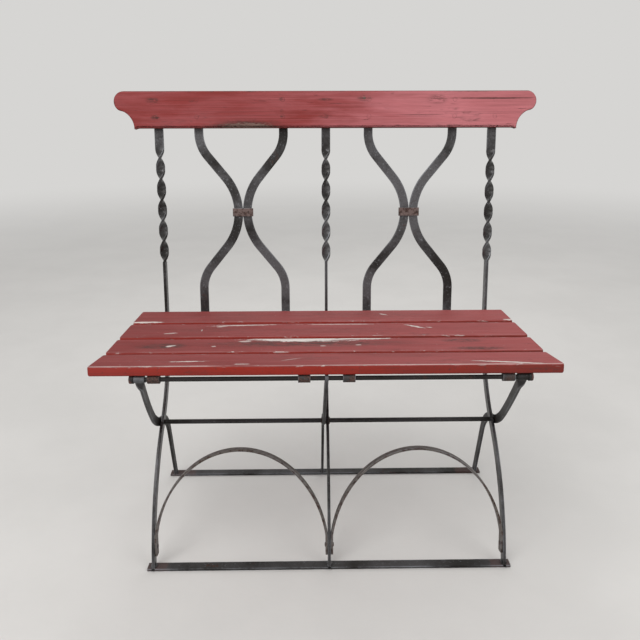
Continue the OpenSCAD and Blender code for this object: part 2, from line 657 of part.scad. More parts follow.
top_slat();
upright_left();
upright_centre();
upright_right();
scroll_left_outer();
scroll_left_inner();
scroll_right_inner();
scroll_right_outer();
collar_left();
collar_right();
rear_rod();
rear_nuts();
pivot_rod();
front_rail();
arch_left();
arch_right();
arch_rivets();
top_screws();
pivot_washers();
leg_left();
leg_centre();
leg_right();
rear_rail();
hinge_rod();
seat_slat_front();
seat_slat_second();
seat_slat_third();
seat_slat_rear();
batten_left();
batten_inner_left();
batten_inner_right();
batten_right();
seat_screws();
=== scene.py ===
"""Looks of a folding garden bench for two: flat-bar iron, rods and painted wooden slats.

Lengths are metres and angles radians. The bench faces -Y and stands on Z = 0.
A section point is a (Y, Z) pair. Every shape is worked out at rest, in the frame of the solid model.
"""
from functools import partialmethod
import bmesh
import bpy
import numpy as np
from mathutils import Matrix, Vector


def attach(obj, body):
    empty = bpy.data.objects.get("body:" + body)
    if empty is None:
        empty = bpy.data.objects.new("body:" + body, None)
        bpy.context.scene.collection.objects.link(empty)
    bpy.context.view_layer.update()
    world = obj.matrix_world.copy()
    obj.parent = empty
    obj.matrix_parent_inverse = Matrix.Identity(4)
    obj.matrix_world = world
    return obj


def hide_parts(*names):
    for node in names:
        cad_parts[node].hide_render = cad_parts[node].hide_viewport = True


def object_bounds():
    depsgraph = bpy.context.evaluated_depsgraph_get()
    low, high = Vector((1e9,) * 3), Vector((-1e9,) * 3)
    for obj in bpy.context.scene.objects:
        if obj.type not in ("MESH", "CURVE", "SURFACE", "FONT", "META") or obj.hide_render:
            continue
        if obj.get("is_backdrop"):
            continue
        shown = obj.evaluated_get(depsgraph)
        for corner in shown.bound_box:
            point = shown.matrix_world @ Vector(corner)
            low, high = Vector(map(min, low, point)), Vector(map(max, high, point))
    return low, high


bl_info = {
    "name": "Folding garden bench",
    "version": (1, 0, 0),
    "blender": (4, 5, 0),
    "location": "View3D > Sidebar > Bench",
    "description": "Makes the pieces, finishes and stage of a folding two-seat garden bench",
    "category": "Object",
}
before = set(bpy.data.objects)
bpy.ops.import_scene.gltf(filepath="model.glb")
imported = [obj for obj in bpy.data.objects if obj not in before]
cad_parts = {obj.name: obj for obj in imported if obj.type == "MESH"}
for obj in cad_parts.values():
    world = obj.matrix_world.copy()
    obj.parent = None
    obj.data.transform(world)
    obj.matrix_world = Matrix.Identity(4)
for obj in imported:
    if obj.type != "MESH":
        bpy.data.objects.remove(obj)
CAD_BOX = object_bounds()
MM = 0.001
X, Y, Z = np.eye(3)
QUARTERS = np.radians([0, 90, 180, 270])
SIDES = ((-1, "left"), (1, "right"))


# ---------------------------------------------------------------- sizes and colours
def size(mm, about):
    """A length, given in millimetres and kept in metres; its label is what stands before the comma."""
    return bpy.props.FloatProperty(name=about.split(",")[0], description=about, default=mm * MM,
                                   unit="LENGTH", precision=4)


def angle(degrees, about):
    """An angle, given in degrees and kept in radians."""
    return bpy.props.FloatProperty(name=about.split(",")[0], description=about,
                                   default=np.radians(degrees), subtype="ANGLE")


def colour(red, green, blue, about):
    """A colour, given in the 0 to 255 values of a screen and kept linear."""
    c = np.array([red, green, blue]) / 255
    c = np.where(c < 0.04045, c / 12.92, ((c + 0.055) / 1.055) ** 2.4)
    return bpy.props.FloatVectorProperty(name=about.split(",")[0], description=about, default=tuple(c),
                                         size=3, min=0, max=1, subtype="COLOR")


class BenchSeatSizes(bpy.types.PropertyGroup):
    """Sizes of the seat: slats, battens and hinge rod."""
    seat_len: size(759, "Slat length, the same for all four")
    seat_front_h: size(469, "Seat height, at the front top edge")
    slat_w_front: size(85, "Front slat's width")
    slat_w_second: size(75, "Second slat's width")
    slat_w_third: size(85, "Third slat's width")
    slat_w_rear: size(83, "Rear slat's width")
    slat_gap: size(11.5, "Slat gap, between neighbours")
    slat_t: size(16, "Slat thickness")
    seat_fall: angle(3, "Seat fall, from front to rear")
    front_rise: angle(6, "Front slat's extra rise")
    slat_edge_r: size(3, "Edge rounding, of the slats' long edges")
    slat_corner_r: size(6, "Corner rounding, of the slats seen from above")
    seat_offset: size(-8, "Seat offset, of the slats from the frame's middle")
    rod_in: size(8, "Hinge set-back, from the seat's front edge")
    back_gap: size(14, "Rear space, between rear slat and uprights")
    batten_w: size(20, "Batten width")
    batten_t: size(3.2, "Batten thickness")
    batten_x_outer: size(284, "Outer battens, from the middle")
    batten_x_inner: size(36, "Inner battens, from the centre leg")
    batten_tail: size(1.5, "Batten tail, past the rear rod")
    hinge_d: size(7.5, "Hinge rod's diameter")


class BenchFrameSizes(bpy.types.PropertyGroup):
    """Sizes of the iron frame and of the top slat."""
    upright_x: size(341.5, "Outer uprights, from the middle")
    bar_w: size(18, "Bar width, of uprights and legs")
    bar_t: size(6, "Bar thickness, of uprights and legs")
    lean: angle(9, "Lean, of the backrest")
    bend_upper_r: size(277, "Upper bend, its radius just under the seat")
    bend_mid: angle(57, "Bend slope, the steepest from the vertical")
    bend_lower_r: size(382, "Lower bend, its radius down to the front foot")
    pivot_h: size(231, "Pivot height, of the rod that the legs fold about")
    pivot_d: size(9.5, "Pivot rod's diameter")
    rod_d: size(8, "Rear rod's diameter")
    top_len: size(850, "Top slat's length")
    top_h: size(71, "Top slat's height")
    top_t: size(17, "Top slat's thickness")
    top_start: size(395, "Top slat's place, above the rear rod")
    nose_r: size(20, "Nose, its radius at each end of the top slat")
    cove_r: size(36.5, "Cove, its radius under each nose")
    bar_top_in: size(6, "Bar end, below the top slat's upper edge")
    twist_start: size(122.5, "Twist start, above the rear rod")
    twist_len: size(233, "Twist length")
    twist_turn: angle(990, "Twist, its turn in all")
    scroll_x: size(173.5, "Crossed pairs, from the middle")
    scroll_half: size(86.5, "Pair half spread")
    scroll_t: size(5, "Scroll thickness")
    waist_h: size(226, "Waist height, above the rear rod")
    scroll_outer_r: size(72, "Outer bends, their radius near slat and rod")
    scroll_waist_r: size(112, "Waist bends, their radius")
    scroll_slope: angle(39.5, "Scroll slope, from the vertical")
    collar_h: size(17.5, "Collar height")
    collar_t: size(2.5, "Collar thickness")
    arch_w: size(15, "Arch width")
    arch_t: size(4.5, "Arch thickness")
    lap_low: size(24, "Arch end, above the floor")
    arch_top: size(235, "Arch top, above the floor")
    arch_lean: angle(11, "Arch lean, backward")
    arch_bulge: size(2.5, "Arch bulge, of its curve past its laps")
    arch_wide_at: size(3, "Arch belly, above the arch's lower end")
    foot_span: size(335, "Foot span, from front feet to rear feet")
    rear_foot_x: size(363, "Rear feet, from the middle")
    leg_pivot_slope: angle(26, "Slope at pivot, of the leg")
    leg_hump_slope: angle(16, "Slope at hump, where the leg bends down")
    leg_sag_r: size(140, "Sag, its radius at the pivot")
    leg_hump_r: size(120, "Hump, its radius behind the pivot")
    leg_centre_x: size(-8, "Centre leg, from the middle")
    eye_x: size(307, "Eye place, of the outer legs from the middle")
    eye_len: size(17.5, "Eye length, of the outer legs")
    leg_turn: size(36, "Leg turn, the length from flat to edge-on")
    rail_w: size(20, "Rail width")
    rail_t: size(5, "Rail thickness")
    rail_over: size(9, "Rail reach, past the outer legs")
    pin_d: size(4.4, "Pin diameter, of screws and rivets")
    head_d: size(9, "Head diameter, of screws and rivets")
    head_t: size(1.6, "Head height, of screws and rivets")
    washer_d: size(15, "Washer diameter")
    washer_t: size(1.6, "Washer thickness")
    rod_head_t: size(7, "Hinge rod's heads, their thickness")
    hinge_eye_wall: size(2, "Eye wall, of the outer legs round the hinge rod")
    fit: size(0.05, "Rod play, in its hole")
    side_play: size(0.2, "Side play, between parts that turn past each other")


class BenchColours(bpy.types.PropertyGroup):
    """Colours of the finishes and of the stage."""
    red_back: colour(128, 47, 44, "Back paint, of the top slat")
    red_back_pale: colour(190, 116, 121, "Back paint bleached")
    red_seat: colour(116, 44, 42, "Seat paint, on top")
    red_seat_pale: colour(154, 77, 77, "Seat paint bleached")
    red_side: colour(136, 40, 30, "Side paint, fresh on the slats' sides")
    dark_wood: colour(70, 48, 45, "Stained wood, where the paint is worn through")
    grey_wood: colour(132, 116, 106, "Grey wood, bare and weathered")
    # Primer is also the colour of the pale line on the seat's upper edges, which is partly a painted highlight.
    primer: colour(205, 197, 192, "Primer, white where the paint has gone")
    iron_dark: colour(31, 29, 27, "Iron's dark skin")
    iron_light: colour(90, 89, 91, "Iron's grey-blue patina")
    # Steel is the colour of the rubbed edges and also of the painted glints of light on the iron.
    steel_and_glint: colour(138, 141, 146, "Rubbed iron, bright on the edges")
    rust: colour(78, 55, 48, "Rust")
    rust_deep: colour(38, 29, 26, "Rust, deep")
    collar: colour(108, 92, 88, "Collar, greyish brown")
    rust_pink: colour(98, 68, 63, "Rust at the ends of hinge rod and rails")
    arch_skin: colour(100, 94, 89, "Arch iron, warm grey")
    floor: colour(205, 203, 200, "Floor")
    backdrop: colour(214, 213, 211, "Background")


# ---------------------------------------------------------------- the plan shared by all pieces
def down(a):
    """Direction that points back and down by the angle a: (cos a, -sin a)."""
    return np.stack([np.cos(a), -np.sin(a)], -1)


def over(a):
    """Direction at right angles to down(a): (sin a, cos a)."""
    return np.stack([np.sin(a), np.cos(a)], -1)


def space(x, yz):
    """Points of space from X and (Y, Z) pairs."""
    yz = np.atleast_2d(yz)
    return np.column_stack([np.broadcast_to(x, len(yz)), yz])


def arc(a, b, step):
    """Numbers from a to b, both included, no further apart than the step."""
    return np.linspace(a, b, max(2, int(np.ceil(abs(b - a) / step)) + 1))


def slope_of(v):
    """The angle a of the direction down(a) that a (Y, Z) pair has."""
    return np.arctan2(-v[1], v[0])


class Plan:
    """Points and lines of the bench that several pieces share, by the solid model's formulas."""

    def __init__(self, s, b):
        self.bars = b
        tilt = s.seat_fall + s.front_rise
        self.d1, self.n1, self.d2, self.n2 = down(tilt), over(tilt), down(s.seat_fall), over(s.seat_fall)
        self.lean_up, self.lean_back = over(b.lean), down(b.lean)
        self.knuckle_r = s.hinge_d / 2 + b.fit + s.batten_t
        self.head_r = self.knuckle_r - 0.2 * MM
        self.eye_clear = self.head_r + 0.6 * MM
        starts = s.slat_gap / 2 + np.cumsum([0, s.slat_w_second + s.slat_gap, s.slat_w_third + s.slat_gap])
        self.rear_d = starts[2] + s.slat_w_rear + s.back_gap + b.bar_w / 2
        self.bar_top = b.top_start + b.top_h - b.bar_top_in
        to_hinge = self.d1 * s.rod_in - self.n1 * (s.slat_t + self.knuckle_r + 0.1 * MM)
        to_rear = (self.d1 * (s.slat_w_front + s.slat_gap / 2) + self.d2 * self.rear_d
                   - self.n2 * (s.slat_t + s.batten_t + 0.25 * MM + b.rod_d / 2))
        front = -(to_hinge[0] - self.knuckle_r + to_rear[0] + self.bar_top * np.sin(b.lean)
                  + b.bar_t / 2 * np.cos(b.lean)) / 2
        self.seat_f = np.array([front, s.seat_front_h])
        self.seat_b = self.seat_f + self.d1 * (s.slat_w_front + s.slat_gap / 2)
        self.slats = [("front", self.seat_f, self.d1, self.n1, 0.0, s.slat_w_front)] + [
            (name, self.seat_b, self.d2, self.n2, start, width) for name, start, width in
            zip(("second", "third", "rear"), starts, (s.slat_w_second, s.slat_w_third, s.slat_w_rear))]
        self.hinge, self.rear = self.seat_f + to_hinge, self.seat_f + to_rear
        self.bend_p = self.upper_at(b.bend_mid)
        self.foot_a = self.lower_angle(b.rail_t)
        self.front_foot = self.lower_at(self.foot_a)
        self.pivot = (self.upper_at(np.arcsin(np.sin(b.lean) + (self.rear[1] - b.pivot_h) / b.bend_upper_r))
                      if b.pivot_h > self.bend_p[1] else self.lower_at(self.lower_angle(b.pivot_h)))
        self.leg_x = b.upright_x + b.bar_t + 2 * b.side_play + b.washer_t
        self.plan_leg(b)
        self.plan_arch(b)
        self.batten_x = [-s.batten_x_outer, b.leg_centre_x - s.batten_x_inner,
                         b.leg_centre_x + s.batten_x_inner, s.batten_x_outer]

    def upper_at(self, a):
        """Upright's arc under the rear rod, where it slopes by the angle a from the vertical."""
        return self.rear - self.bars.bend_upper_r * (self.lean_back - down(a))

    def lower_at(self, a):
        """Upright's arc down to the front foot, where it slopes by the angle a from the vertical."""
        return self.bend_p - self.bars.bend_lower_r * (down(a) - down(self.bars.bend_mid))

    def lower_angle(self, z):
        """Slope of the lower arc at the height z."""
        return np.arcsin(np.sin(self.bars.bend_mid) - (self.bend_p[1] - z) / self.bars.bend_lower_r)

    def plan_leg(self, b):
        """Lengths of the folding leg's parts: straight, sag, hump, straight."""
        self.sag_c = self.pivot + b.leg_sag_r * over(b.leg_pivot_slope)
        self.hump_c = self.sag_c - (b.leg_sag_r + b.leg_hump_r) * over(b.leg_hump_slope)
        self.rear_foot = np.array([self.front_foot[0] + b.foot_span, b.rail_t])
        to_sag, to_foot = self.sag_c - self.hinge, self.rear_foot - self.hump_c
        far = np.hypot(*to_sag)
        self.front_slope = slope_of(to_sag) + np.arcsin(b.leg_sag_r / far)
        self.rear_slope = slope_of(to_foot) + np.arcsin(b.leg_hump_r / np.hypot(*to_foot))
        self.front_run = np.sqrt(far ** 2 - b.leg_sag_r ** 2)
        self.to_pivot = self.front_run + b.leg_sag_r * (self.front_slope - b.leg_pivot_slope)
        self.to_hump = self.to_pivot + b.leg_sag_r * (b.leg_pivot_slope - b.leg_hump_slope)
        self.to_rear = self.to_hump + b.leg_hump_r * (self.rear_slope - b.leg_hump_slope)
        self.leg_len = self.to_rear + np.hypot(*(to_foot - b.leg_hump_r * over(self.rear_slope)))

    def leg_line(self, s):
        """Folding leg at the distances s from the hinge rod: its (Y, Z) line and its slope."""
        b = self.bars
        where = [s < self.front_run, s < self.to_hump, s < self.to_rear]
        slope = np.select(where, [self.front_slope, self.front_slope - (s - self.front_run) / b.leg_sag_r,
                                  b.leg_hump_slope + (s - self.to_hump) / b.leg_hump_r], self.rear_slope)
        t = s[:, None]
        line = np.select([q[:, None] for q in where],
                         [self.hinge + t * down(self.front_slope), self.sag_c - b.leg_sag_r * over(slope),
                          self.hump_c + b.leg_hump_r * over(slope)],
                         self.rear_foot - (self.leg_len - t) * down(self.rear_slope))
        return line, slope

    def leg_out(self, s):
        """Distance of an outer leg from the middle: drawn in at its eye, then flush, then spreading."""
        eye_x, out, flush = self.bars.eye_x, self.leg_x, 45 * MM
        near, far = self.to_pivot - flush, self.to_pivot + flush
        rest = np.clip((near - s) / (near - self.eye_clear), 0, 1)
        spread = (self.bars.rear_foot_x - out) * (s - far) / (self.leg_len - far)
        x = np.where(s < far, out - (out - eye_x) * rest ** 1.15, out + spread)
        return np.where(s < self.eye_clear, eye_x, x)

    def plan_arch(self, b):
        """Plane and main sizes of the arches, which lie flat against the lower uprights."""
        rivet_in = 18 * MM
        self.rivet_up = rivet_in / np.cos(b.arch_lean)
        self.lap_a = self.lower_at(self.lower_angle(b.lap_low + rivet_in)) - self.rivet_up * over(b.arch_lean)
        self.arch_half = (b.upright_x - b.bar_t - b.arch_t) / 2
        self.arch_across = self.arch_half + b.arch_bulge
        self.arch_up = (b.arch_top - b.lap_low) / np.cos(b.arch_lean) - b.arch_t / 2 - b.arch_wide_at
        self.arch_a = np.arccos(self.arch_half / self.arch_across)
        self.lap_len = b.arch_wide_at + self.arch_up * np.sin(self.arch_a)

    def back(self, x, depth, height):
        """Points of the leaning backrest: X, depth behind its middle plane, height above the rear rod."""
        x, depth, height = (np.atleast_1d(np.asarray(q, float)) for q in (x, depth, height))
        return space(x, self.rear + depth[:, None] * self.lean_back + height[:, None] * self.lean_up)


def plan():
    """The plan for the sizes that are set in the scene now, with the frame's and the seat's sizes."""
    seat, bars = bpy.context.scene.bench_seat, bpy.context.scene.bench_frame
    return Plan(seat, bars), bars, seat


# ---------------------------------------------------------------- surfaces
def unit(v):
    """Directions of length one."""
    return v / np.linalg.norm(v, axis=-1, keepdims=True)


def wave(t, seed, octaves=3):
    """Smooth numbers from 0 to 1 along t: sines of rising pitch and falling height, out of step."""
    k = np.arange(octaves)
    phase = np.sin(seed * 12.9898 + k * 78.233) * 43.0
    total = np.sin(np.multiply.outer(t, 1.9 ** k) + phase) @ (0.6 ** k)
    return 0.5 + 0.5 * total / (0.6 ** k).sum()


def quads(rings, around, closed=False):
    """Four-sided faces of a grid of rings; with closed, the last ring joins the first."""
    i = np.arange(rings if closed else rings - 1)[:, None]
    j = np.arange(around)[None]
    i2, j2 = (i + 1) % rings, (j + 1) % around
    grid = np.stack([i * around + j, i * around + j2, i2 * around + j2, i2 * around + j], -1)
    return grid.reshape(-1, 4).tolist()


def fan(pole, start, n, back=False):
    """Three-sided faces from a pole to the ring of n points that begins at start."""
    j = np.arange(n)
    k = (j + 1) % n
    first, second = (k, j) if back else (j, k)
    return np.stack([np.full(n, pole), start + first, start + second], -1).tolist()


def corners(degrees):
    """Cosine, sine and both signs of the points of a rectangle's four rounded corners, going round."""
    q = (np.radians(degrees)[None] + QUARTERS[:, None]).ravel()
    n = len(degrees)
    return np.cos(q), np.sin(q), np.repeat([1, -1, -1, 1], n), np.repeat([1, 1, -1, -1], n)


class Skin:
    """Closed surfaces gathered into one piece, with the wear of each point from 0 to 1."""

    def __init__(self):
        self.points, self.faces, self.flat, self.wear, self.count = [], [], [], [], 0

    def add(self, points, faces, wear, caps=()):
        """Adds one surface: its points, smooth faces, wear and flat many-sided caps."""
        self.faces += [[k + self.count for k in f] for f in (*faces, *caps)]
        self.flat += [False] * len(faces) + [True] * len(caps)
        self.points.append(points)
        self.wear.append(np.broadcast_to(np.asarray(wear, float), len(points)))
        self.count += len(points)

    def add_rings(self, points, wear, closed=False):
        """Adds a grid of points, ring after ring, with a flat cap on each end."""
        rings, around = points.shape[:2]
        caps = () if closed else (range(around), range((rings - 1) * around, rings * around))
        self.add(points.reshape(-1, 3), quads(rings, around, closed), wear, caps)

    def place(self, node, body, slot, finish, name=None):
        """Makes the mesh and its object: closed, facing outwards, riding its body for its node."""
        name = name or node.capitalize()
        mesh = bpy.data.meshes.new(name)
        mesh.from_pydata(np.concatenate(self.points).tolist(), [], self.faces)
        if mesh.validate():
            raise RuntimeError(f"{name} has faces that can't be used")
        mesh.polygons.foreach_set("use_smooth", [not f for f in self.flat])
        shell = bmesh.new()
        shell.from_mesh(mesh)
        bmesh.ops.recalc_face_normals(shell, faces=shell.faces)
        shell.to_mesh(mesh)
        shell.free()
        mesh.set_sharp_from_angle(angle=np.radians(50))
        edge = mesh.attributes.new("edge", "FLOAT", "POINT")
        edge.data.foreach_set("value", np.concatenate(self.wear).astype(np.float32))
        mesh.materials.append(finish_named(finish))
        piece = bpy.data.objects.new(name, mesh)
        bpy.context.scene.collection.objects.link(piece)
        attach(piece, body)
        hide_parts(node)


def sweep(skin, path, u, v, width, thick, r=0.8 * MM, end=0.5 * MM, near=0.9 * MM, forged=0.12 * MM,
          seed=1.0, loop=False, floor=None):
    """A bar carried along a path. A ring is path + a u + b v, where (a, b) goes round a rectangle of the
    bar's width and thickness with corners of radius r; each end is drawn in by a quarter circle.
    Forged is how far the sizes fall short here and there, as a hammered bar's do. The wear is 1 on
    the corners and 0 a little way in on the flats. With loop the path closes on itself; with floor
    nothing of the bar lies below that height."""
    n, halfway = len(path), 0.293
    width, thick = (np.broadcast_to(np.asarray(q, float), n) for q in (width, thick))
    u, v = (np.broadcast_to(q, (n, 3)) for q in (u, v))
    inset = np.zeros(n)
    if loop:
        forged = 0
    else:
        first, last = unit(path[1] - path[0]), unit(path[-1] - path[-2])
        back = end * np.array([0, halfway, 1])
        path = np.vstack([path[0] + back[:, None] * first, path[1:-1], path[-1] - back[::-1, None] * last])
        index = np.r_[0, 0, np.arange(n), n - 1, n - 1]
        u, v, width, thick = u[index], v[index], width[index], thick[index]
        inset = np.r_[end, halfway * end, inset, halfway * end, end]
    s = np.r_[0, np.cumsum(np.linalg.norm(np.diff(path, axis=0), axis=1))]
    width = width - 2 * inset - forged * wave(s * 130, seed)
    thick = thick - 2 * inset - forged * wave(s * 110, seed + 3)
    cos, sin, sign_a, sign_b = corners([0, 0, 45, 90, 90])
    shift = np.tile([-near, 0, 0, 0, near], 4)
    a = sign_a * (width[:, None] / 2 - r) + (r * cos - shift * sin)
    b = sign_b * (thick[:, None] / 2 - r) + (r * sin + shift * cos)
    points = path[:, None] + a[..., None] * u[:, None] + b[..., None] * v[:, None]
    if floor is not None:
        points[..., 2] = np.maximum(points[..., 2], floor)
    skin.add_rings(points, np.tile([0, 1, 1, 1, 0], 4 * len(path)), loop)


def turned(skin, centre, axis, profile, wear=0.0, segments=28, closed=False, lumps=0.0, seed=1.0):
    """A turned form: a profile point (t, r) goes round to centre + t axis + r (cos k e1 + sin k e2).
    An open profile starts and ends on the axis, where each pole is one point. Lumps is how far, as a
    share of the radius, the surface falls in here and there."""
    e1 = unit(np.cross(axis, Z if abs(axis[2]) < 0.9 else Y))
    e2 = np.cross(axis, e1)
    wear = np.broadcast_to(np.asarray(wear, float), len(profile))
    k = np.arange(segments) * 2 * np.pi / segments
    body = profile if closed else profile[1:-1]
    radius = body[:, 1, None] * (1 - lumps * wave(k[None] + body[:, 0, None] * 900, seed) ** 2)
    outward = np.cos(k)[:, None] * e1 + np.sin(k)[:, None] * e2
    points = (centre + body[:, 0, None, None] * axis + radius[..., None] * outward[None]).reshape(-1, 3)
    grid = quads(len(body), segments, closed)
    wears = np.repeat(wear if closed else wear[1:-1], segments)
    if closed:
        skin.add(points, grid, wears)
        return
    total = len(points)
    faces = grid + fan(total, 0, segments, True) + fan(total + 1, total - segments, segments)
    skin.add(np.vstack([points, centre + profile[[0, -1], 0, None] * axis]), faces,
             np.r_[wears, wear[0], wear[-1]])


def dome(radius, height):
    """Profile of a domed head that rises from t = 0: a low ellipse on a short straight rim."""
    q = np.linspace(0, np.pi / 2, 6)
    rim = 0.22
    profile = np.column_stack([height * (rim + (1 - rim) * np.sin(q)), radius * np.cos(q)])
    profile[-1, 1] = 0
    return profile


def block(radius, height):
    """Profile of a flat head with broken edges."""
    e = 1 * MM
    return np.array([[height - e, radius], [height - 0.3 * e, radius - 0.3 * e],
                     [height, radius - e], [height, 0]])


def headed(shaft, low, high):
    """Profile of a pin: its shaft's points between the profiles of the heads on its two ends."""
    t0, t1 = shaft[0][0], shaft[-1][0]
    return np.vstack([np.column_stack([t0 - low[::-1, 0], low[::-1, 1]]), [[t0, low[0, 1]]], shaft,
                      [[t1, high[0, 1]]], np.column_stack([t1 + high[:, 0], high[:, 1]])])


def rod(skin, p, reach, radius, tip=None, seed=1.0):
    """A rod along X, as far to each side as its reach, with a barely uneven skin; tip is the profile of
    the heads on its ends."""
    x = np.linspace(-reach, reach, max(12, int(2 * reach / (6 * MM))))
    shaft = np.column_stack([x, radius - 0.06 * MM * wave(x * 90, seed)])[1:-1]
    if tip is None:
        e = 0.6 * MM
        cut = np.array([[-reach, 0], [-reach, radius - e], [0.3 * e - reach, radius - 0.3 * e]])
        profile = np.vstack([cut, shaft, cut[::-1] * [-1, 1]])
    else:
        profile = headed(np.vstack([[-reach, radius], shaft, [reach, radius]]), tip, tip)
    turned(skin, space(0, p)[0], X, profile)


def ring(skin, p, x, length, inner, outer, r=0.4 * MM, wear=1.0, lumps=0.0, seed=1.0):
    """A washer, eye or rolled end round a rod along X: a rounded rectangle turned about the rod."""
    q = np.radians([0, 45, 90])
    c, s = np.cos(q), np.sin(q)
    hx, hr = length / 2 - r, (outer - inner) / 2 - r
    t = np.r_[hx + r * c, -hx - r * s, -hx - r * c, hx + r * s] + x
    rad = np.r_[hr + r * s, hr + r * c, -hr - r * s, -hr - r * c] + (inner + outer) / 2
    turned(skin, space(0, p)[0], X, np.column_stack([t, rad]), wear, 32, True, lumps, seed)


def welds(skin, x, y, z, height, step, seed, apart):
    """The weld on both sides of a foot: two balls, dented by waves on their two angles and cut at the floor.
    Height and step, which sets them apart along Y, are in mm; seed and apart give the waves' seeds."""
    n, side, floor, half = 20, 3.4 * MM, 0.3 * MM, np.array([3.2, 8.0, height]) * MM
    q, k = np.meshgrid(np.linspace(0, np.pi, 12)[1:-1], np.arange(n) * 2 * np.pi / n, indexing="ij")
    last = (len(q) - 1) * n
    for m in (-1, 1):
        seed_m = seed + m * apart
        lumps = wave(3 * q + 2 * np.sin(k + seed_m), seed_m) * (0.75 + 0.25 * np.cos(2 * k + seed_m))
        ball = np.stack([np.sin(q) * np.cos(k), np.sin(q) * np.sin(k), np.cos(q)], -1)
        points = np.vstack([(ball * (0.72 + 0.28 * lumps)[..., None]).reshape(-1, 3), 0.85 * Z, -0.85 * Z])
        points = points * half + np.array([x + m * side, y + m * step * MM, z + 0.6 * MM])
        points[:, 2] = np.maximum(points[:, 2], floor)
        skin.add(points, quads(len(q), n) + fan(last + n, 0, n) + fan(last + n + 1, last, n, True), 0.3)


# ---------------------------------------------------------------- finishes
class Nodes:
    """A node tree in the making, with short names for its nodes."""

    def __init__(self, tree):
        self.tree = tree
        tree.nodes.clear()

    def node(self, kind, inputs=(), **settings):
        """A new node with these settings and these values or links of its inputs."""
        node = self.tree.nodes.new(kind)
        for key, value in settings.items():
            setattr(node, key, value)
        for key, value in dict(inputs).items():
            self.set(node.inputs[key], value)
        return node

    def set(self, socket, value):
        """Links a socket to another, or sets its value or colour."""
        if isinstance(value, bpy.types.NodeSocket):
            self.tree.links.new(value, socket)
        elif hasattr(value, "__len__"):
            socket.default_value = (*value, 1.0) if len(socket.default_value) == 4 else tuple(value)
        else:
            socket.default_value = value

    def split(self, vector):
        """The three parts of a vector."""
        return self.node("ShaderNodeSeparateXYZ", {0: vector}).outputs

    def length(self, vector):
        """The length of a vector."""
        return self.node("ShaderNodeVectorMath", {0: vector}, operation="LENGTH").outputs["Value"]

    def math(self, kind, total, *values):
        """Joins values one after the other: ADD, SUBTRACT, MULTIPLY, MAXIMUM."""
        for value in values:
            total = self.node("ShaderNodeMath", {0: total, 1: value}, operation=kind).outputs[0]
        return total

    # The sum, the product and the largest of some values.
    add = partialmethod(math, "ADD")
    mul = partialmethod(math, "MULTIPLY")
    most = partialmethod(math, "MAXIMUM")

    def rise(self, value, low, high, to=1.0):
        """0 below low, 1 (or to) above high, smooth between; high may be the smaller one."""
        return self.node("ShaderNodeMapRange", enumerate((value, low, high, 0.0, to)),
                         interpolation_type="SMOOTHSTEP").outputs[0]

    def coats(self, base, *layers):
        """The base under coats of colour: pairs of share and colour, laid one on the other."""
        for share, tone in layers:
            base = self.node("ShaderNodeMix", {0: share, 6: base, 7: tone}, data_type="RGBA").outputs[2]
        return base


class Finish(Nodes):
    """A material in the making; its noises are moved by the shift."""

    def __init__(self, name, shift=(0, 0, 0)):
        self.material = bpy.data.materials.new(name)
        self.material.use_nodes = True
        super().__init__(self.material.node_tree)
        self.shader, self.end = self.node("ShaderNodeBsdfPrincipled"), self.node("ShaderNodeOutputMaterial")
        self.set(self.end.inputs[0], self.shader.outputs[0])
        where = self.node("ShaderNodeTexCoord")
        self.at, self.shift = where.outputs["Object"], shift
        self.x = self.split(self.at)[0]
        self.facing = self.split(where.outputs["Normal"])
        self.worn = self.node("ShaderNodeAttribute", attribute_name="edge").outputs["Fac"]

    def noise(self, per_metre, detail=3.0, rough=0.55, warp=0.0):
        """Noise with this many features a metre along X, Y and Z."""
        scale = per_metre if hasattr(per_metre, "__len__") else (per_metre,) * 3
        place = self.node("ShaderNodeMapping", {"Vector": self.at, "Location": self.shift, "Scale": scale})
        return self.node("ShaderNodeTexNoise", {"Vector": place.outputs[0], "Scale": 1.0, "Detail": detail,
                                                "Roughness": rough, "Distortion": warp}).outputs[0]

    def blot(self, centre, half, strength, turn, ragged, soft, rim):
        """A spot that is 1 inside an oval round the centre and 0 outside, its rim broken by a noise."""
        place = self.node("ShaderNodeMapping", {"Vector": self.at, "Location": centre, "Rotation": (0, 0, turn),
                                                "Scale": half}, vector_type="TEXTURE")
        far, middle = self.add(self.length(place.outputs[0]), self.mul(rim, ragged)), 1.0 + ragged / 2
        return self.rise(far, middle + soft, middle - soft, strength)

    def finish(self, base, rough, metal, shine, bumps):
        """Joins colour, roughness, metal, shine and the bumps: pairs of height and depth in metres."""
        normal = None
        for height, depth in bumps:
            inputs = {"Strength": 1.0, "Distance": depth, "Height": height}
            if normal is not None:
                inputs["Normal"] = normal
            normal = self.node("ShaderNodeBump", inputs).outputs[0]
        for key, value in (("Base Color", base), ("Roughness", rough), ("Metallic", metal),
                           ("Specular IOR Level", shine), ("Normal", normal)):
            self.set(self.shader.inputs[key], value)
        return self.material


# Spots of the paint. A row is X and Y (on the top slat: height) in mm, the two half sizes in mm, strength
# and turn. Bleach is where along X the paint turns pale, and line is how pale the seat's rubbed edges are;
# that pale line is partly worn paint and partly a painted highlight.
BACK = dict(
    upright=True, seed=1.1, bleach=(0.0, 0.39),
    bare=((-166, -2, 58, 12, 0.85, 0), (77, 57, 3, 2.2, 0.9, 0), (300, 72, 60, 3, 0.6, 0)),
    stains=((-348, 53, 12, 5, 0.85, 0), (-343, 20, 8, 4, 0.9, 0), (-166, 4, 70, 11, 0.75, 0),
            (77, 57, 13, 6, 0.7, 0), (-270, 52, 5, 2, 0.8, 0), (-90, 55, 4, 3, 0.6, 0),
            (-89, 32, 3.5, 3, 0.8, 0), (-89, 23, 4, 3, 0.7, 0), (-2, 54, 14, 2.5, 0.7, 0),
            (-2, 22, 12, 3, 0.8, 0), (225, 55, 18, 9, 0.55, 0)),
    cracks=((340, 56, 78, 1.1, 0.95, 0), (190, 24, 40, 0.7, 0.6, 0)))
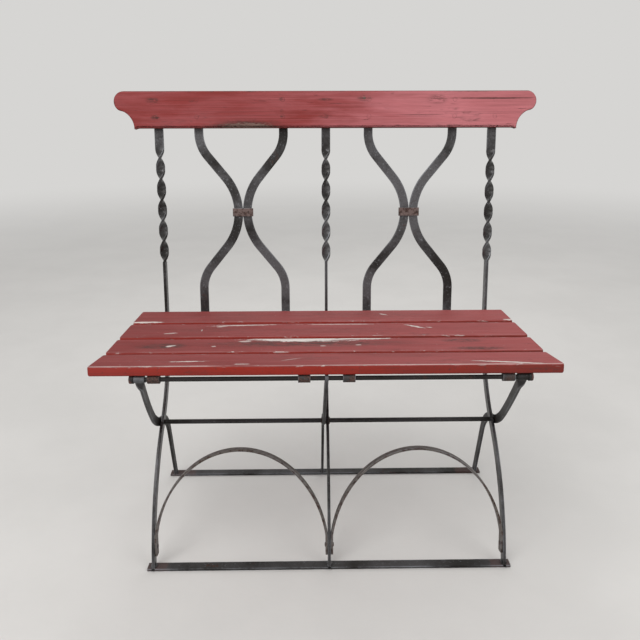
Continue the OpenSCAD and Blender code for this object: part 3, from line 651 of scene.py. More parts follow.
PAINTS = {
    "Paint_back": BACK,
    "Paint_screws": BACK,
    "Paint_front": dict(
        # The front slat's strong pale edge line is partly worn paint and partly a painted highlight.
        seed=20.7, line=0.5,
        bare=((-235, -196, 28, 3, 0.9, 0.04), (282, -213, 52, 3.2, 1.0, -0.2), (-66, -186, 16, 2, 0.4, 0.5),
              (-143, -216, 12, 2.4, 0.8, 0)),
        stains=((-60, -180, 60, 16, 0.3, 0), (130, -160, 80, 16, 0.22, 0))),
    "Paint_second": dict(
        seed=22.4,
        bare=((-54, -64, 92, 13, 1.0, -0.02), (60, -61, 54, 6, 1.0, 0), (-282, -98, 9, 4, 0.8, 0.4),
              (-152, -74, 12, 4, 0.6, 0), (52, -98, 5, 2.5, 0.7, 0), (-12, -102, 5, 3, 0.7, 0),
              (-205, -102, 4, 3, 0.6, 0)),
        stains=((-40, -88, 165, 16, 1.0, 0), (-296, -98, 42, 14, 1.0, 0.1), (240, -76, 34, 11, 0.95, 0),
                (262, -120, 46, 8, 0.9, 0))),
    "Paint_third": dict(
        seed=20.7,
        bare=((-165, 27, 60, 2.6, 0.9, 0.06), (-205, 20, 12, 3, 0.7, 0.4), (168, 14, 20, 3.4, 0.9, -0.6),
              (196, 6, 7, 2, 0.7, -0.4), (-296, -22, 12, 3, 0.6, 0.2), (-241, -4, 1.2, 6, 0.6, 0),
              (28, 30, 70, 2.4, 0.6, 0)),
        stains=((-230, -2, 70, 18, 0.3, 0), (40, -8, 120, 20, 0.25, 0))),
    "Paint_rear": dict(
        seed=19.0,
        bare=((116, 100, 9, 3, 0.7, -0.6), (-356, 54, 30, 3, 0.9, 0), (364, 56, 10, 4, 0.75, 0)),
        stains=((60, 96, 150, 24, 0.35, 0), (-190, 90, 90, 20, 0.25, 0))),
}
# Ends is how far from the middle pinkish rust begins, and its share.
IRONS = {
    "Iron_frame": dict(rusty=0.02, light=0.6, rough=0.28, metal=0.55),
    "Iron_rail": dict(rusty=0.05, light=0.45, seed=23.1, ends=(320 * MM, 0.3), rough=0.5, metal=0.15),
    # The legs' iron is darker: partly its own dark skin, partly painted shade from under the seat.
    "Iron_leg": dict(rusty=0.03, light=0.42, seed=17.9, rough=0.5, metal=0.2),
    "Iron_arch": dict(rusty=0.03, light=0.8, seed=19.3, skin="arch_skin", metal=0.25),
    "Iron_scroll": dict(rusty=0.05, light=0.9, seed=3.1),
    "Iron_dark": dict(rusty=0.04, light=0.4, seed=5.7, rough=0.5, metal=0.15),
    "Iron_rusty": dict(rusty=0.3, light=0.3, seed=7.9),
    "Iron_hinge": dict(rusty=0.1, light=0.15, seed=11.3, ends=(325 * MM, 0.85), rough=0.5, metal=0.1),
    "Iron_collar": dict(rusty=0.1, light=0.6, seed=13.7, skin="collar"),
}


def spot_place(row, upright):
    """Centre and half sizes of a spot, which lies on the face and reaches only a little way into the wood."""
    x, y, along, across = (q * MM for q in row[:4])
    deep = 10 * MM
    if upright:
        p, b, _ = plan()
        return p.back(x, -20 * MM, b.top_start + y)[0], (along, deep, across)
    top = np.interp(row[1], [-228, -138, 155], [469, 455, 439]) * MM
    return (x, y, top), (along, across, deep)


def painted_wood(name, seed, bare, stains, cracks=(), bleach=(-0.4, 0.55), upright=False, line=0.1):
    """Red paint on old pine: grain and brush lines along X, bleached clouds, cracks, rubbed edges (on the seat
    a pale line, partly worn paint and partly a painted highlight), and spots where the paint is stained or
    gone."""
    c, f = bpy.context.scene.bench_colours, Finish(name, (seed, seed * 1.7, seed * 0.6))
    tone, pale = (c.red_back, c.red_back_pale) if upright else (c.red_seat, c.red_seat_pale)
    dark = c.dark_wood
    blots = lambda rows, *rim: [f.blot(*spot_place(row, upright), *row[4:], *rim) for row in rows]
    grain, brush = f.noise((7, 260, 260), 4, 0.6, 0.3), f.noise((3, 480, 480), 3, 0.6)
    lines, cloud = f.noise((16, 900, 900), 2, 0.5), f.noise((6, 26, 26), 4, 0.6, 0.5)
    flaw, specks = f.noise((26, 330, 330), 3, 0.6, 0.4), f.noise(240, 2, 0.5)
    ragged, crumbs = f.noise((38, 170, 170), 5, 0.7, 0.6), f.noise((110, 420, 420), 4, 0.7, 0.5)
    lift = f.rise(f.add(f.mul(grain, 0.35), f.mul(cloud, 0.85)), 0.42, 0.78)
    lift = f.add(f.mul(lift, 0.25), f.rise(f.add(f.x, f.mul(cloud, 0.25)), *bleach, 0.68))
    base = f.coats(tone, (lift, pale), (f.rise(brush, 0.52, 0.66, 0.2), pale),
                   (f.rise(brush, 0.47, 0.32, 0.24), dark), (f.rise(lines, 0.42, 0.6, 0.14), dark))
    # The sides keep fresher paint; on the top slat every face but the front is darker.
    along = f.add(f.x, f.mul(cloud, 0.2))
    side = f.coats(c.red_side, (f.rise(cloud, 0.35, 0.65, 0.35), tone), (f.rise(along, 0.0, 0.45, 0.35), dark),
                   (f.rise(along, -0.1, -0.3, 0.16), pale), (f.rise(brush, 0.48, 0.34, 0.3), dark),
                   (f.rise(f.add(specks, f.mul(ragged, 0.5)), 0.88, 0.98, 0.5), dark))
    if upright:
        face, side = f.rise(f.facing[1], -0.55, -0.8), f.coats(side, (0.45, dark))
    else:
        face = f.rise(f.facing[2], 0.55, 0.8)
    crack = f.most(f.rise(flaw, 0.685, 0.73, 0.8), *blots(cracks, 1.4, 0.4, ragged))
    dull = f.rise(f.add(cloud, f.mul(ragged, 0.5)), 0.84, 1.02, 0.6)
    broken = f.rise(f.add(brush, crumbs, ragged), 1.38, 1.6)
    stain = f.mul(f.most(dull, *blots(stains, 1.5, 0.55, ragged)), broken)
    torn = f.mul(f.add(ragged, crumbs), 0.5)
    gone = f.mul(f.most(*blots(bare, 3.4, 0.16, torn)), f.rise(grain, 0.24, 0.38))
    chipped = f.mul(f.worn, f.rise(ragged, 0.58, 0.64, 0.8))
    chips = f.mul(f.rise(specks, 0.73, 0.77), f.mul(face, f.rise(ragged, 0.54, 0.6, 0.7)))
    # Rubbed edges: dark worn wood on the top slat; on the seat a pale primer line along the upper edges, partly
    # worn paint and partly a painted highlight.
    rubbed = f.mul(f.rise(f.worn, 0.55, 0.95), f.rise(cloud, 0.3, 0.6, 0.5 if upright else line))
    if upright:
        under, edge = f.coats(c.grey_wood, (f.rise(brush, 0.4, 0.58, 0.75), dark)), dark
    else:
        under, edge = f.coats(c.grey_wood, (f.rise(lines, 0.28, 0.5), c.primer)), c.primer
    base = f.coats(side, (face, base), (stain, dark), (f.most(gone, chips), under), (rubbed, edge),
                   (chipped, edge), (crack, dark))
    height = f.math("SUBTRACT", f.mul(grain, 0.8), f.add(crack, f.most(gone, chipped)))
    rough = f.add(f.rise(grain, 0.3, 0.7, 0.16), f.add(f.mul(gone, 0.2), 0.56))
    return f.finish(base, rough, 0.0, 0.14, [(height, 0.5 * MM), (lines, 0.12 * MM)])


def iron(name, rusty, light, seed=0.0, skin=None, ends=None, rough=0.42, metal=0.35):
    """Old forged iron: dark skin with a slow grey patina, fine specks, painted glints of light, brown rust in
    patches, rubbed edges.
    With skin the iron has that colour instead, only broken by specks."""
    c, f = bpy.context.scene.bench_colours, Finish(name, (seed, seed * 1.3, seed * 0.7))
    patina, patch = f.noise(9, 3, 0.5, 0.3), f.noise(17, 5, 0.7, 0.8)
    pits, scale, glints = f.noise(420, 3, 0.6), f.noise(130, 4, 0.6, 0.3), f.noise(260, 3, 0.65)
    brown = f.coats(c.rust_deep, (f.rise(pits, 0.35, 0.65), c.rust))
    rust = f.rise(f.add(f.mul(scale, 0.35), patch), 0.84 - rusty, 0.98 - rusty)
    if skin:
        base = f.coats(brown, (f.rise(scale, 0.38, 0.56, 0.9), getattr(c, skin)))
    else:
        grey = f.rise(f.add(patina, f.mul(scale, 0.22)), 0.44, 0.74, light)
        # The glints are painted highlights: specks of bright steel colour that stand in for light caught on the
        # iron.
        base = f.coats(c.iron_dark, (grey, c.iron_light), (f.rise(pits, 0.54, 0.66, 0.5), c.rust_deep),
                       (f.rise(glints, 0.6, 0.7, 0.6 * light), c.steel_and_glint), (rust, brown))
    if ends:
        start, share = ends
        far = f.add(f.math("ABSOLUTE", f.x, 0.0), f.mul(scale, 14 * MM))
        base = f.coats(base, (f.rise(far, start, start + 5 * MM, share), c.rust_pink))
    rubbed = f.mul(f.worn, f.rise(f.add(patina, f.mul(scale, 0.3)), 0.5, 0.85, 0.55))
    bare = f.math("SUBTRACT", f.add(f.mul(rubbed, 0.4), metal), f.mul(rust, metal))
    dull = f.add(rough, f.rise(scale, 0.3, 0.7, 0.12), f.mul(rust, 0.25))
    base = f.coats(base, (rubbed, c.steel_and_glint))
    return f.finish(base, dull, bare, metal, [(scale, 0.35 * MM), (pits, 0.12 * MM)])


def finish_named(name):
    """The finish of this name, made when a piece first asks for it."""
    made = bpy.data.materials.get(name)
    return made or (iron(name, **IRONS[name]) if name in IRONS else painted_wood(name, **PAINTS[name]))


# ---------------------------------------------------------------- pieces
class MakeTopSlat(bpy.types.Operator):
    """Makes the top slat with a nose and a cove at each end"""
    bl_idname = "bench.top_slat"
    bl_label = "Top slat"

    def execute(self, context):
        """The outline is the nose's and the cove's circles joined by straight edges, mirrored. Ring k lies
        inside it by r (1 - cos q) and behind the face by r (1 - sin q), q going from 90 to 0 degrees."""
        (p, b, _), skin = plan(), Skin()
        n, m = 60, 22  # points along half an edge and round each circle
        lip, r, way_in, dents = 1 * MM, 1.6 * MM, 2.4 * MM, 0.5 * MM
        nose = np.array([b.top_len / 2 - b.nose_r, b.top_h - b.nose_r])
        cove = np.array([b.top_len / 2 - 2 * lip, -lip])
        gap = cove - nose
        far = np.hypot(*gap)
        reach = (far ** 2 + b.nose_r ** 2 - b.cove_r ** 2) / (2 * far)
        meet = (nose + gap / far * reach
                + np.array([-gap[1], gap[0]]) / far * np.sqrt(b.nose_r ** 2 - reach ** 2))
        qa = np.linspace(np.pi / 2, np.arctan2(*(meet - nose)[::-1]), m)
        qb = np.linspace(np.arctan2(*(meet - cove)[::-1]), np.pi + np.arcsin(lip / b.cove_r), m)[1:]
        x = np.linspace(0, nose[0], n)[:-1]
        half = np.vstack([np.column_stack([x, np.full(n - 1, b.top_h)]),
                          nose + b.nose_r * np.column_stack([np.cos(qa), np.sin(qa)]),
                          cove + b.cove_r * np.column_stack([np.cos(qb), np.sin(qb)])])
        half = np.vstack([half, np.column_stack([np.linspace(half[-1, 0], 0, n)[1:-1], np.zeros(n - 2)])])
        line = np.vstack([half, [[0, 0]], half[::-1][:-1] * [-1, 1]])
        along = unit(unit(np.roll(line, -1, 0) - line) + unit(line - np.roll(line, 1, 0)))
        inward = np.column_stack([along[:, 1], -along[:, 0]])
        q = np.radians([90, 60, 30, 0])
        inset, depth = np.r_[r + way_in, r * (1 - np.cos(q))], np.r_[0, r * (1 - np.sin(q))]
        inset, depth = np.r_[inset, inset[::-1]], np.r_[depth, b.top_t - depth[::-1]]
        dent = dents * wave(np.arange(len(line)) * 0.9, 4.0, 4) ** 3
        rim = (inset > 0) & (inset < 2 * MM)
        flat = line + (inset[:, None] + dent * rim[:, None])[..., None] * inward
        front = -b.bar_t / 2 - b.top_t
        across, height = flat.reshape(-1, 2).T
        points = p.back(across, np.repeat(front + depth, len(line)), b.top_start + height)
        wear = np.repeat([0, 0.3, 1, 1, 0.6, 0.6, 1, 1, 0.3, 0], len(line))
        skin.add_rings(points.reshape(len(depth), len(line), 3), wear)
        skin.place("top_slat", "back_frame", "back_wood", "Paint_back")
        return {"FINISHED"}


class MakeSeatSlats(bpy.types.Operator):
    """Makes the four seat slats"""
    bl_idname = "bench.seat_slats"
    bl_label = "Seat slats"

    def execute(self, context):
        """A rounded rectangle carried along X. Its width falls off at each end as a quarter circle of the
        corner's radius, and its thickness as one of the edge's radius. Waves wear the long edges away.
        The wear ends a little way in on the two wide faces."""
        p, _, s = plan()
        r, big, way_in = s.slat_edge_r, s.slat_corner_r, 1.6 * MM
        q = np.linspace(np.pi / 2, 0, 9)
        tip = np.unique(np.r_[big * (1 - np.sin(q)), r * (1 - np.sin(q))])
        x = np.r_[tip, np.linspace(big, s.seat_len - big, 220)[1:-1], s.seat_len - tip[::-1]]
        d = np.minimum(x, s.seat_len - x)
        draw = lambda q: q - np.sqrt(np.maximum(q ** 2 - np.maximum(q - d, 0) ** 2, 0))
        cos, sin, sign_y, sign_z = corners([0, 22, 45, 68, 90])
        double = np.abs(2 * cos * sin)
        t = (s.slat_t / 2 - draw(r) * 0.98)[:, None]
        e = np.minimum(r, t * 0.9)
        # Each corner's point on a wide face comes twice, the second time drawn in.
        twice = np.r_[0:5, 4, 5, 5:10, 10:15, 14, 15, 15:20]
        drawn = np.isin(np.arange(24), (5, 6, 17, 18))
        for k, (name, origin, back, up, start, width) in enumerate(p.slats):
            skin = Skin()
            w = (width / 2 - draw(big) * 0.98)[:, None]
            nick = np.stack([wave(x * (70 + 9 * m), k * 4.1 + m, 5) ** 4 for m in range(4)], 1)
            nick = np.repeat(nick, 5, 1) * 0.9 * MM * double * (d > big)[:, None]
            ring_y = (sign_y * (w - e) + (e - nick) * cos)[:, twice] - way_in * drawn * sign_y[twice]
            ring_z = (sign_z * (t - e) + (e - nick) * sin)[:, twice]
            wear = np.maximum(sin[twice], 0) * ~drawn
            yz = (origin + (start + width / 2 + ring_y)[..., None] * back
                  + (ring_z - s.slat_t / 2)[..., None] * up)
            place = np.broadcast_to((s.seat_offset - s.seat_len / 2 + x)[:, None], ring_y.shape)
            skin.add_rings(np.concatenate([place[..., None], yz], -1), np.tile(wear, len(x)))
            skin.place("seat_slat_" + name, "seat", "seat_wood", "Paint_" + name, "Slat_" + name)
        return {"FINISHED"}


class MakeUprights(bpy.types.Operator):
    """Makes the three uprights, edge-on below, twisted behind the back and flat at the top"""
    bl_idname = "bench.uprights"
    bl_label = "Uprights"

    def execute(self, context):
        """The middle line is an arc up from the foot, a counter arc and a straight lean. The section turns
        about it by 90 degrees plus the twist, evenly over the twisted length."""
        p, b, _ = plan()
        step, end, into_rail = 4 * MM, b.twist_start + b.twist_len, np.radians(3)
        low = arc(p.foot_a - into_rail, b.bend_mid, step / b.bend_lower_r)
        high = arc(b.bend_mid, b.lean, step / b.bend_upper_r)[1:]
        z = np.r_[arc(0, b.twist_start, 12 * MM)[1:], arc(b.twist_start, end, 1.6 * MM)[1:],
                  arc(end, p.bar_top, 10 * MM)[1:]]
        line = np.vstack([p.lower_at(low), p.upper_at(high), p.rear + z[:, None] * p.lean_up])
        slope = np.r_[low, high, np.full(len(z), b.lean)]
        turn = np.pi / 2 + b.twist_turn * np.clip((z - b.twist_start) / b.twist_len, 0, 1)
        turn = np.r_[np.full(len(low) + len(high), np.pi / 2), turn][:, None]
        across = space(0, down(slope))
        u, v = np.cos(turn) * X + np.sin(turn) * across, -np.sin(turn) * X + np.cos(turn) * across
        for k, (x, name) in enumerate(((-b.upright_x, "left"), (0.0, "centre"), (b.upright_x, "right"))):
            skin = Skin()
            sweep(skin, space(x, line), u, v, b.bar_w, b.bar_t, r=1 * MM, seed=2.3 * k + 1,
                  floor=b.rail_t - 0.2 * MM)
            welds(skin, x, p.front_foot[0], b.rail_t, 4.6, 1, 3 * k, 1)
            skin.place("upright_" + name, "back_frame", "frame_iron", "Iron_frame")
        return {"FINISHED"}


class MakeScrolls(bpy.types.Operator):
    """Makes the four scroll bars and the two collars that hold each pair together"""
    bl_idname = "bench.scrolls"
    bl_label = "Scroll bars and collars"

    def execute(self, context):
        """Half a bar is an arc at the waist, a straight run and a counter arc, mirrored about the waist.
        A collar is a strip carried round a rounded rectangle."""
        p, b, _ = plan()
        waist, slope = b.bar_w / 2 + 0.1 * MM, b.scroll_slope
        inner_r, outer_r = b.scroll_waist_r, b.scroll_outer_r
        run = (b.scroll_half - waist - (outer_r + inner_r) * (1 - np.cos(slope))) / np.sin(slope)
        x1, z1 = waist + inner_r * (1 - np.cos(slope)), inner_r * np.sin(slope)
        z3 = z1 + run * np.cos(slope) + outer_r * np.sin(slope)
        a, e = arc(0, slope, 2.5 * MM / inner_r), arc(slope, 0, 2.5 * MM / outer_r)
        t = arc(0, run, 6 * MM)[1:-1]
        top, foot = arc(z3, p.bar_top - b.waist_h, 8 * MM)[1:], arc(-b.waist_h, -z3, 8 * MM)[:-1]
        half_x = np.r_[waist + inner_r * (1 - np.cos(a)), x1 + t * np.sin(slope),
                       b.scroll_half - outer_r * (1 - np.cos(e))]
        half_z = np.r_[inner_r * np.sin(a), z1 + t * np.cos(slope), z3 - outer_r * np.sin(e)]
        half_a = np.r_[a, np.full(len(t), slope), e]
        x = np.r_[np.full(len(foot), b.scroll_half), half_x[:0:-1], half_x, np.full(len(top), b.scroll_half)]
        z = np.r_[foot, -half_z[:0:-1], half_z, top]
        turn = np.r_[np.zeros(len(foot)), -half_a[:0:-1], half_a, np.zeros(len(top))][:, None]
        set_in, hole, wall = (b.bar_t - b.scroll_t) / 2, b.rod_d / 2 + b.fit, 3 * MM
        up, back = space(0, [p.lean_up, p.lean_back])
        r, n = 1.7 * MM, 7
        hx = waist + b.bar_w / 2 + 0.55 * MM + b.collar_t / 2 - r
        hy = b.scroll_t / 2 + 0.1 * MM + b.collar_t / 2 - r
        cos, sin, sign_x, sign_y = corners(np.linspace(0, 90, n))
        lay = np.column_stack([sign_x * hx + r * cos, sign_y * hy + r * sin, cos, sin])
        fill, rows = np.linspace(0, 1, 12)[1:-1, None], []
        for last in range(n - 1, 4 * n, n):
            rows += [lay[last - n + 1:last + 1], lay[last] + fill * (lay[(last + 1) % (4 * n)] - lay[last])]
        px, py, qx, qy = np.vstack(rows).T
        outward = qx[:, None] * X + qy[:, None] * back
        for side, name in SIDES:
            mid = side * b.scroll_x
            for m, part in ((side, "outer"), (-side, "inner")):
                skin, u = Skin(), m * np.cos(turn) * X - np.sin(turn) * up
                sweep(skin, p.back(mid + m * x, -set_in, b.waist_h + z), u, back, b.bar_w, b.scroll_t,
                      r=0.9 * MM, seed=1.9 * (side + 1 + (m != side)))
                ring(skin, p.rear, mid + m * b.scroll_half, b.bar_w - 0.2 * MM, hole, hole + wall,
                     0.7 * MM, 0.5)
                skin.place(f"scroll_{name}_{part}", "back_frame", "frame_iron", "Iron_scroll")
            skin, dent = Skin(), 1.1 * MM * wave(np.cos(np.arctan2(py * 3, px)) * 4 + side, 2.0 + side) ** 2
            sweep(skin, p.back(mid + px, -set_in + py, b.waist_h), up, outward, b.collar_h - dent, b.collar_t,
                  r=0.7 * MM, near=0.5 * MM, loop=True)
            skin.place("collar_" + name, "back_frame", "rusty_iron", "Iron_collar")
        return {"FINISHED"}


class MakeRods(bpy.types.Operator):
    """Makes the rear rod with its nuts, the pivot rod with its washers, and the hinge rod"""
    bl_idname = "bench.rods"
    bl_label = "Rods, nuts and washers"

    def execute(self, context):
        """Each rod is one turned form; nuts and washers are turned about the same lines."""
        p, b, s = plan()
        half_bar = b.bar_t / 2 + b.side_play
        skin, end = Skin(), b.upright_x + half_bar
        rod(skin, p.rear, end, b.rod_d / 2)
        skin.place("rear_rod", "back_frame", "frame_iron", "Iron_dark")
        skin, wide = Skin(), b.rod_d / 2 + 2 * MM
        for m in (-1, 1):
            cap = np.vstack([[0, 0], [0, wide - 0.4 * MM], [0.4 * MM, wide], dome(wide, 3 * MM) * [0.98, 1]])
            turned(skin, space(m * end, p.rear)[0], m * X, cap, 0.6, lumps=0.05, seed=m + 2.0)
        skin.place("rear_nuts", "back_frame", "rusty_iron", "Iron_rusty")
        skin = Skin()
        rod(skin, p.pivot, p.leg_x + half_bar + b.side_play + b.washer_t, b.pivot_d / 2,
            dome(b.pivot_d / 2 + 2.5 * MM, 3.4 * MM), 3.0)
        skin.place("pivot_rod", "back_frame", "rusty_iron", "Iron_dark")
        skin = Skin()
        rod(skin, p.hinge, b.eye_x + max(b.eye_len, b.bar_w) / 2 + 0.05 * MM, s.hinge_d / 2,
            block(p.head_r, b.rod_head_t), 5.0)
        skin.place("hinge_rod", "leg_frame", "rusty_iron", "Iron_hinge")
        skin, half, c = Skin(), b.washer_t / 2, b.leg_centre_x
        out, far = end + half, p.leg_x + half_bar + half
        for k, x in enumerate((-out, -far, out, far, half_bar + half, c - half_bar - half, c / 2)):
            ring(skin, p.pivot, x, b.washer_t, b.pivot_d / 2 + b.fit, b.washer_d / 2, 0.35 * MM, 0.5, 0.03, k)
        skin.place("pivot_washers", "back_frame", "rusty_iron", "Iron_rusty")
        return {"FINISHED"}


class MakeRails(bpy.types.Operator):
    """Makes the two floor rails"""
    bl_idname = "bench.rails"
    bl_label = "Floor rails"

    def execute(self, context):
        """A flat bar carried along X on the floor."""
        p, b, _ = plan()
        for name, body, foot, half in (("front", "back_frame", p.front_foot, b.upright_x),
                                       ("rear", "leg_frame", p.rear_foot, b.rear_foot_x)):
            skin, end = Skin(), half + b.bar_t / 2 + b.rail_over
            sweep(skin, space(0, [foot[0], b.rail_t / 2]) + arc(-end, end, 5 * MM)[:, None] * X, Y, Z, b.rail_w,
                  b.rail_t, r=0.9 * MM, end=0.8 * MM, near=1.1 * MM, forged=0.3 * MM, seed=6.0 + half)
            skin.place(name + "_rail", body, "frame_iron", "Iron_rail")
        return {"FINISHED"}


class MakeArches(bpy.types.Operator):
    """Makes the two arches between the front legs and the rivets through their laps"""
    bl_idname = "bench.arches"
    bl_label = "Arches and rivets"

    def execute(self, context):
        """Half an arch is a straight lap and a quarter of an ellipse, mirrored. The strip stands at right
        angles to that line."""
        p, b, _ = plan()
        up, back, origin = space(0, [over(b.arch_lean), down(b.arch_lean), p.lap_a])
        c = arc(p.arch_a, np.pi / 2, 3 * MM / p.arch_across)[1:]
        lap = arc(0, p.lap_len, 6 * MM)
        x = np.r_[np.full(len(lap), -p.arch_half), -p.arch_across * np.cos(c)]
        z = np.r_[lap, b.arch_wide_at + p.arch_up * np.sin(c)]
        q = np.r_[np.zeros(len(lap)), np.arctan2(p.arch_across * np.sin(c), p.arch_up * np.cos(c))]
        x, z, q = np.r_[x, -x[-2::-1]], np.r_[z, z[-2::-1]], np.r_[q, np.pi - q[-2::-1]]
        v = np.cos(q)[:, None] * X - np.sin(q)[:, None] * up
        for side, name in SIDES:
            skin = Skin()
            path = origin + (side * b.upright_x / 2 + x)[:, None] * X + z[:, None] * up
            sweep(skin, path, back, v, b.arch_w, b.arch_t, end=1.2 * MM, near=0.7 * MM, seed=4.0 + side)
            skin.place("arch_" + name, "back_frame", "frame_iron", "Iron_arch")
        skin, tip, half = Skin(), dome(b.head_d / 2, b.head_t), b.bar_t / 2
        spans = [(m * (b.upright_x + half), m * (b.upright_x - half - b.arch_t)) for m in (-1, 1)]
        for k, (far, near) in enumerate(spans + [(half + b.arch_t, -half - b.arch_t)]):
            profile = headed([[0, b.pin_d / 2], [abs(far - near), b.pin_d / 2]], tip, tip)
            turned(skin, origin + near * X + p.rivet_up * up, np.sign(far - near) * X, profile, 0.5, 24,
                   lumps=0.06, seed=k * 2.0)
        skin.place("arch_rivets", "back_frame", "rusty_iron", "Iron_rusty")
        return {"FINISHED"}


class MakeLegs(bpy.types.Operator):
    """Makes the three folding legs with their eyes on the hinge rod"""
    bl_idname = "bench.legs"
    bl_label = "Folding legs"

    def execute(self, context):
        """The middle line runs from the hinge rod through sag and hump to the rear foot. The outer legs
        lie flat at their eye and turn a quarter to stand edge-on; the centre one widens from its eye."""
        p, b, s = plan()
        hole, c, narrow, widening, near = s.hinge_d / 2 + b.fit, b.leg_centre_x, 9 * MM, 60 * MM, 70 * MM
        t = np.r_[hole + 1 * MM, arc(p.eye_clear, p.eye_clear + near, 2.5 * MM),
                  arc(p.eye_clear + near, p.leg_len + 5 * MM, 4 * MM)[1:]]
        line, slope = p.leg_line(t)
        ease = lambda q: np.clip(q, 0, 1) ** 2 * (3 - 2 * np.clip(q, 0, 1))
        spin = (-np.pi / 2 * (1 - ease((t - 5 * MM) / b.leg_turn)))[:, None]
        n, floor, eye_r = space(0, over(slope)), b.rail_t - 0.2 * MM, hole + b.hinge_eye_wall
        for side, name in SIDES:
            u, v = side * np.sin(spin) * X + np.cos(spin) * n, side * np.cos(spin) * X - np.sin(spin) * n
            skin = Skin()
            sweep(skin, space(side * p.leg_out(t), line), u, v, b.bar_w, b.bar_t, r=1 * MM,
                  seed=3.0 + side, floor=floor)
            ring(skin, p.hinge, side * b.eye_x, b.eye_len, hole, eye_r - 0.05 * MM, 0.6 * MM, 0.6)
            welds(skin, side * b.rear_foot_x, p.rear_foot[0], b.rail_t, 4.4, -1, side, 2.0)
            skin.place("leg_" + name, "leg_frame", "frame_iron", "Iron_leg")
        skin, wide = Skin(), narrow + (b.bar_w - narrow) * ease((t - 8 * MM) / widening)
        sweep(skin, space(c, line), n, X, wide, b.bar_t, r=1 * MM, seed=8.0, floor=floor)
        ring(skin, p.hinge, c, b.bar_t - 0.2 * MM, hole, eye_r, 0.5 * MM, 0.6)
        welds(skin, c, p.rear_foot[0], b.rail_t, 4.4, -1, 5, 2.0)
        skin.place("leg_centre", "leg_frame", "frame_iron", "Iron_leg")
        return {"FINISHED"}


class MakeBattens(bpy.types.Operator):
    """Makes the four iron battens, rolled round the hinge rod"""
    bl_idname = "bench.battens"
    bl_label = "Battens"

    def execute(self, context):
        """A strip lies under the slats, bends where the seat does, and rolls round the hinge rod on a
        circle through its middle."""
        p, b, s = plan()
        half, r = s.batten_t / 2, p.knuckle_r - s.batten_t / 2
        tail = p.seat_b + p.d2 * (p.rear_d + s.batten_tail) - p.n2 * (s.slat_t + half)
        bend = p.seat_b - (s.slat_t + half) * (p.n1 + p.n2) / (1 + p.n1 @ p.n2)
        far, near, rolled = 43, 13, np.radians(322)  # steps behind and before the bend, and the roll
        q = arc(0, rolled, 0.13)[:, None]
        outward = np.cos(q) * p.n1 - np.sin(q) * p.d1
        cut = lambda a, b, n: a + np.linspace(0, 1, n, endpoint=False)[:, None] * (b - a)
        line = np.vstack([cut(tail, bend, far), cut(bend, p.hinge + r * p.n1, near), p.hinge + r * outward])
        normal = np.vstack([np.repeat([p.n2], far, 0), np.repeat([p.n1], near, 0), outward])
        for k, (x, name) in enumerate(zip(p.batten_x, ("left", "inner_left", "inner_right", "right"))):
            skin = Skin()
            sweep(skin, space(x, line), X, space(0, normal), s.batten_w - 0.1 * MM, s.batten_t - 0.06 * MM,
                  r=0.6 * MM, near=0.7 * MM, forged=0.06 * MM, seed=k * 1.3)
            skin.place("batten_" + name, "seat", "batten_iron", "Iron_rusty")
        return {"FINISHED"}


class MakeScrews(bpy.types.Operator):
    """Makes the screws of the top slat and of the seat"""
    bl_idname = "bench.screws"
    bl_label = "Screws"

    def execute(self, context):
        """A screw is one turned form: domed head, shank and, on the top slat, a flat painted head in front."""
        p, b, s = plan()
        pin_r, tip = b.pin_d / 2, dome(b.head_d / 2, b.head_t)
        skin, front, back = Skin(), -b.bar_t / 2 - b.top_t, space(0, p.lean_back)[0]
        places = [(x, b.bar_t / 2) for x in (-b.upright_x, 0.0, b.upright_x)] + [
            (k * b.scroll_x + m * b.scroll_half, b.scroll_t - b.bar_t / 2) for k in (-1, 1) for m in (-1, 1)]
        for k, (x, rear) in enumerate(places):
            profile = headed([[front, pin_r], [rear, pin_r]], dome(b.head_d / 2, b.head_t / 5), tip)
            wear = np.interp(profile[:, 1], [0, b.head_d * 0.36, b.head_d * 0.46], [0.3, 0.3, 1.0])
            for m, row in enumerate((0.3, 0.76)):
                turned(skin, p.back(x, 0, b.top_start + b.top_h * row)[0], back, profile, wear, 22, lumps=0.05,
                       seed=k * 2.0 + m)
        skin.place("top_screws", "back_frame", "painted_screws", "Paint_screws")
        skin, inner, thin = Skin(), -s.batten_t - 6 * MM, pin_r - 0.1 * MM
        profile = np.vstack([[[inner, 0], [inner, thin], [0, thin], [0, b.head_d / 2]], tip])
        for k, x in enumerate(p.batten_x):
            for m, (_, origin, along, up, start, width) in enumerate(p.slats):
                base = space(x, origin + along * (start + width / 2) - up * (s.slat_t + s.batten_t))[0]
                turned(skin, base, -space(0, up)[0], profile, 0.5, 22, lumps=0.05, seed=k + m * 0.7)
        skin.place("seat_screws", "seat", "rusty_iron", "Iron_rusty")
        return {"FINISHED"}


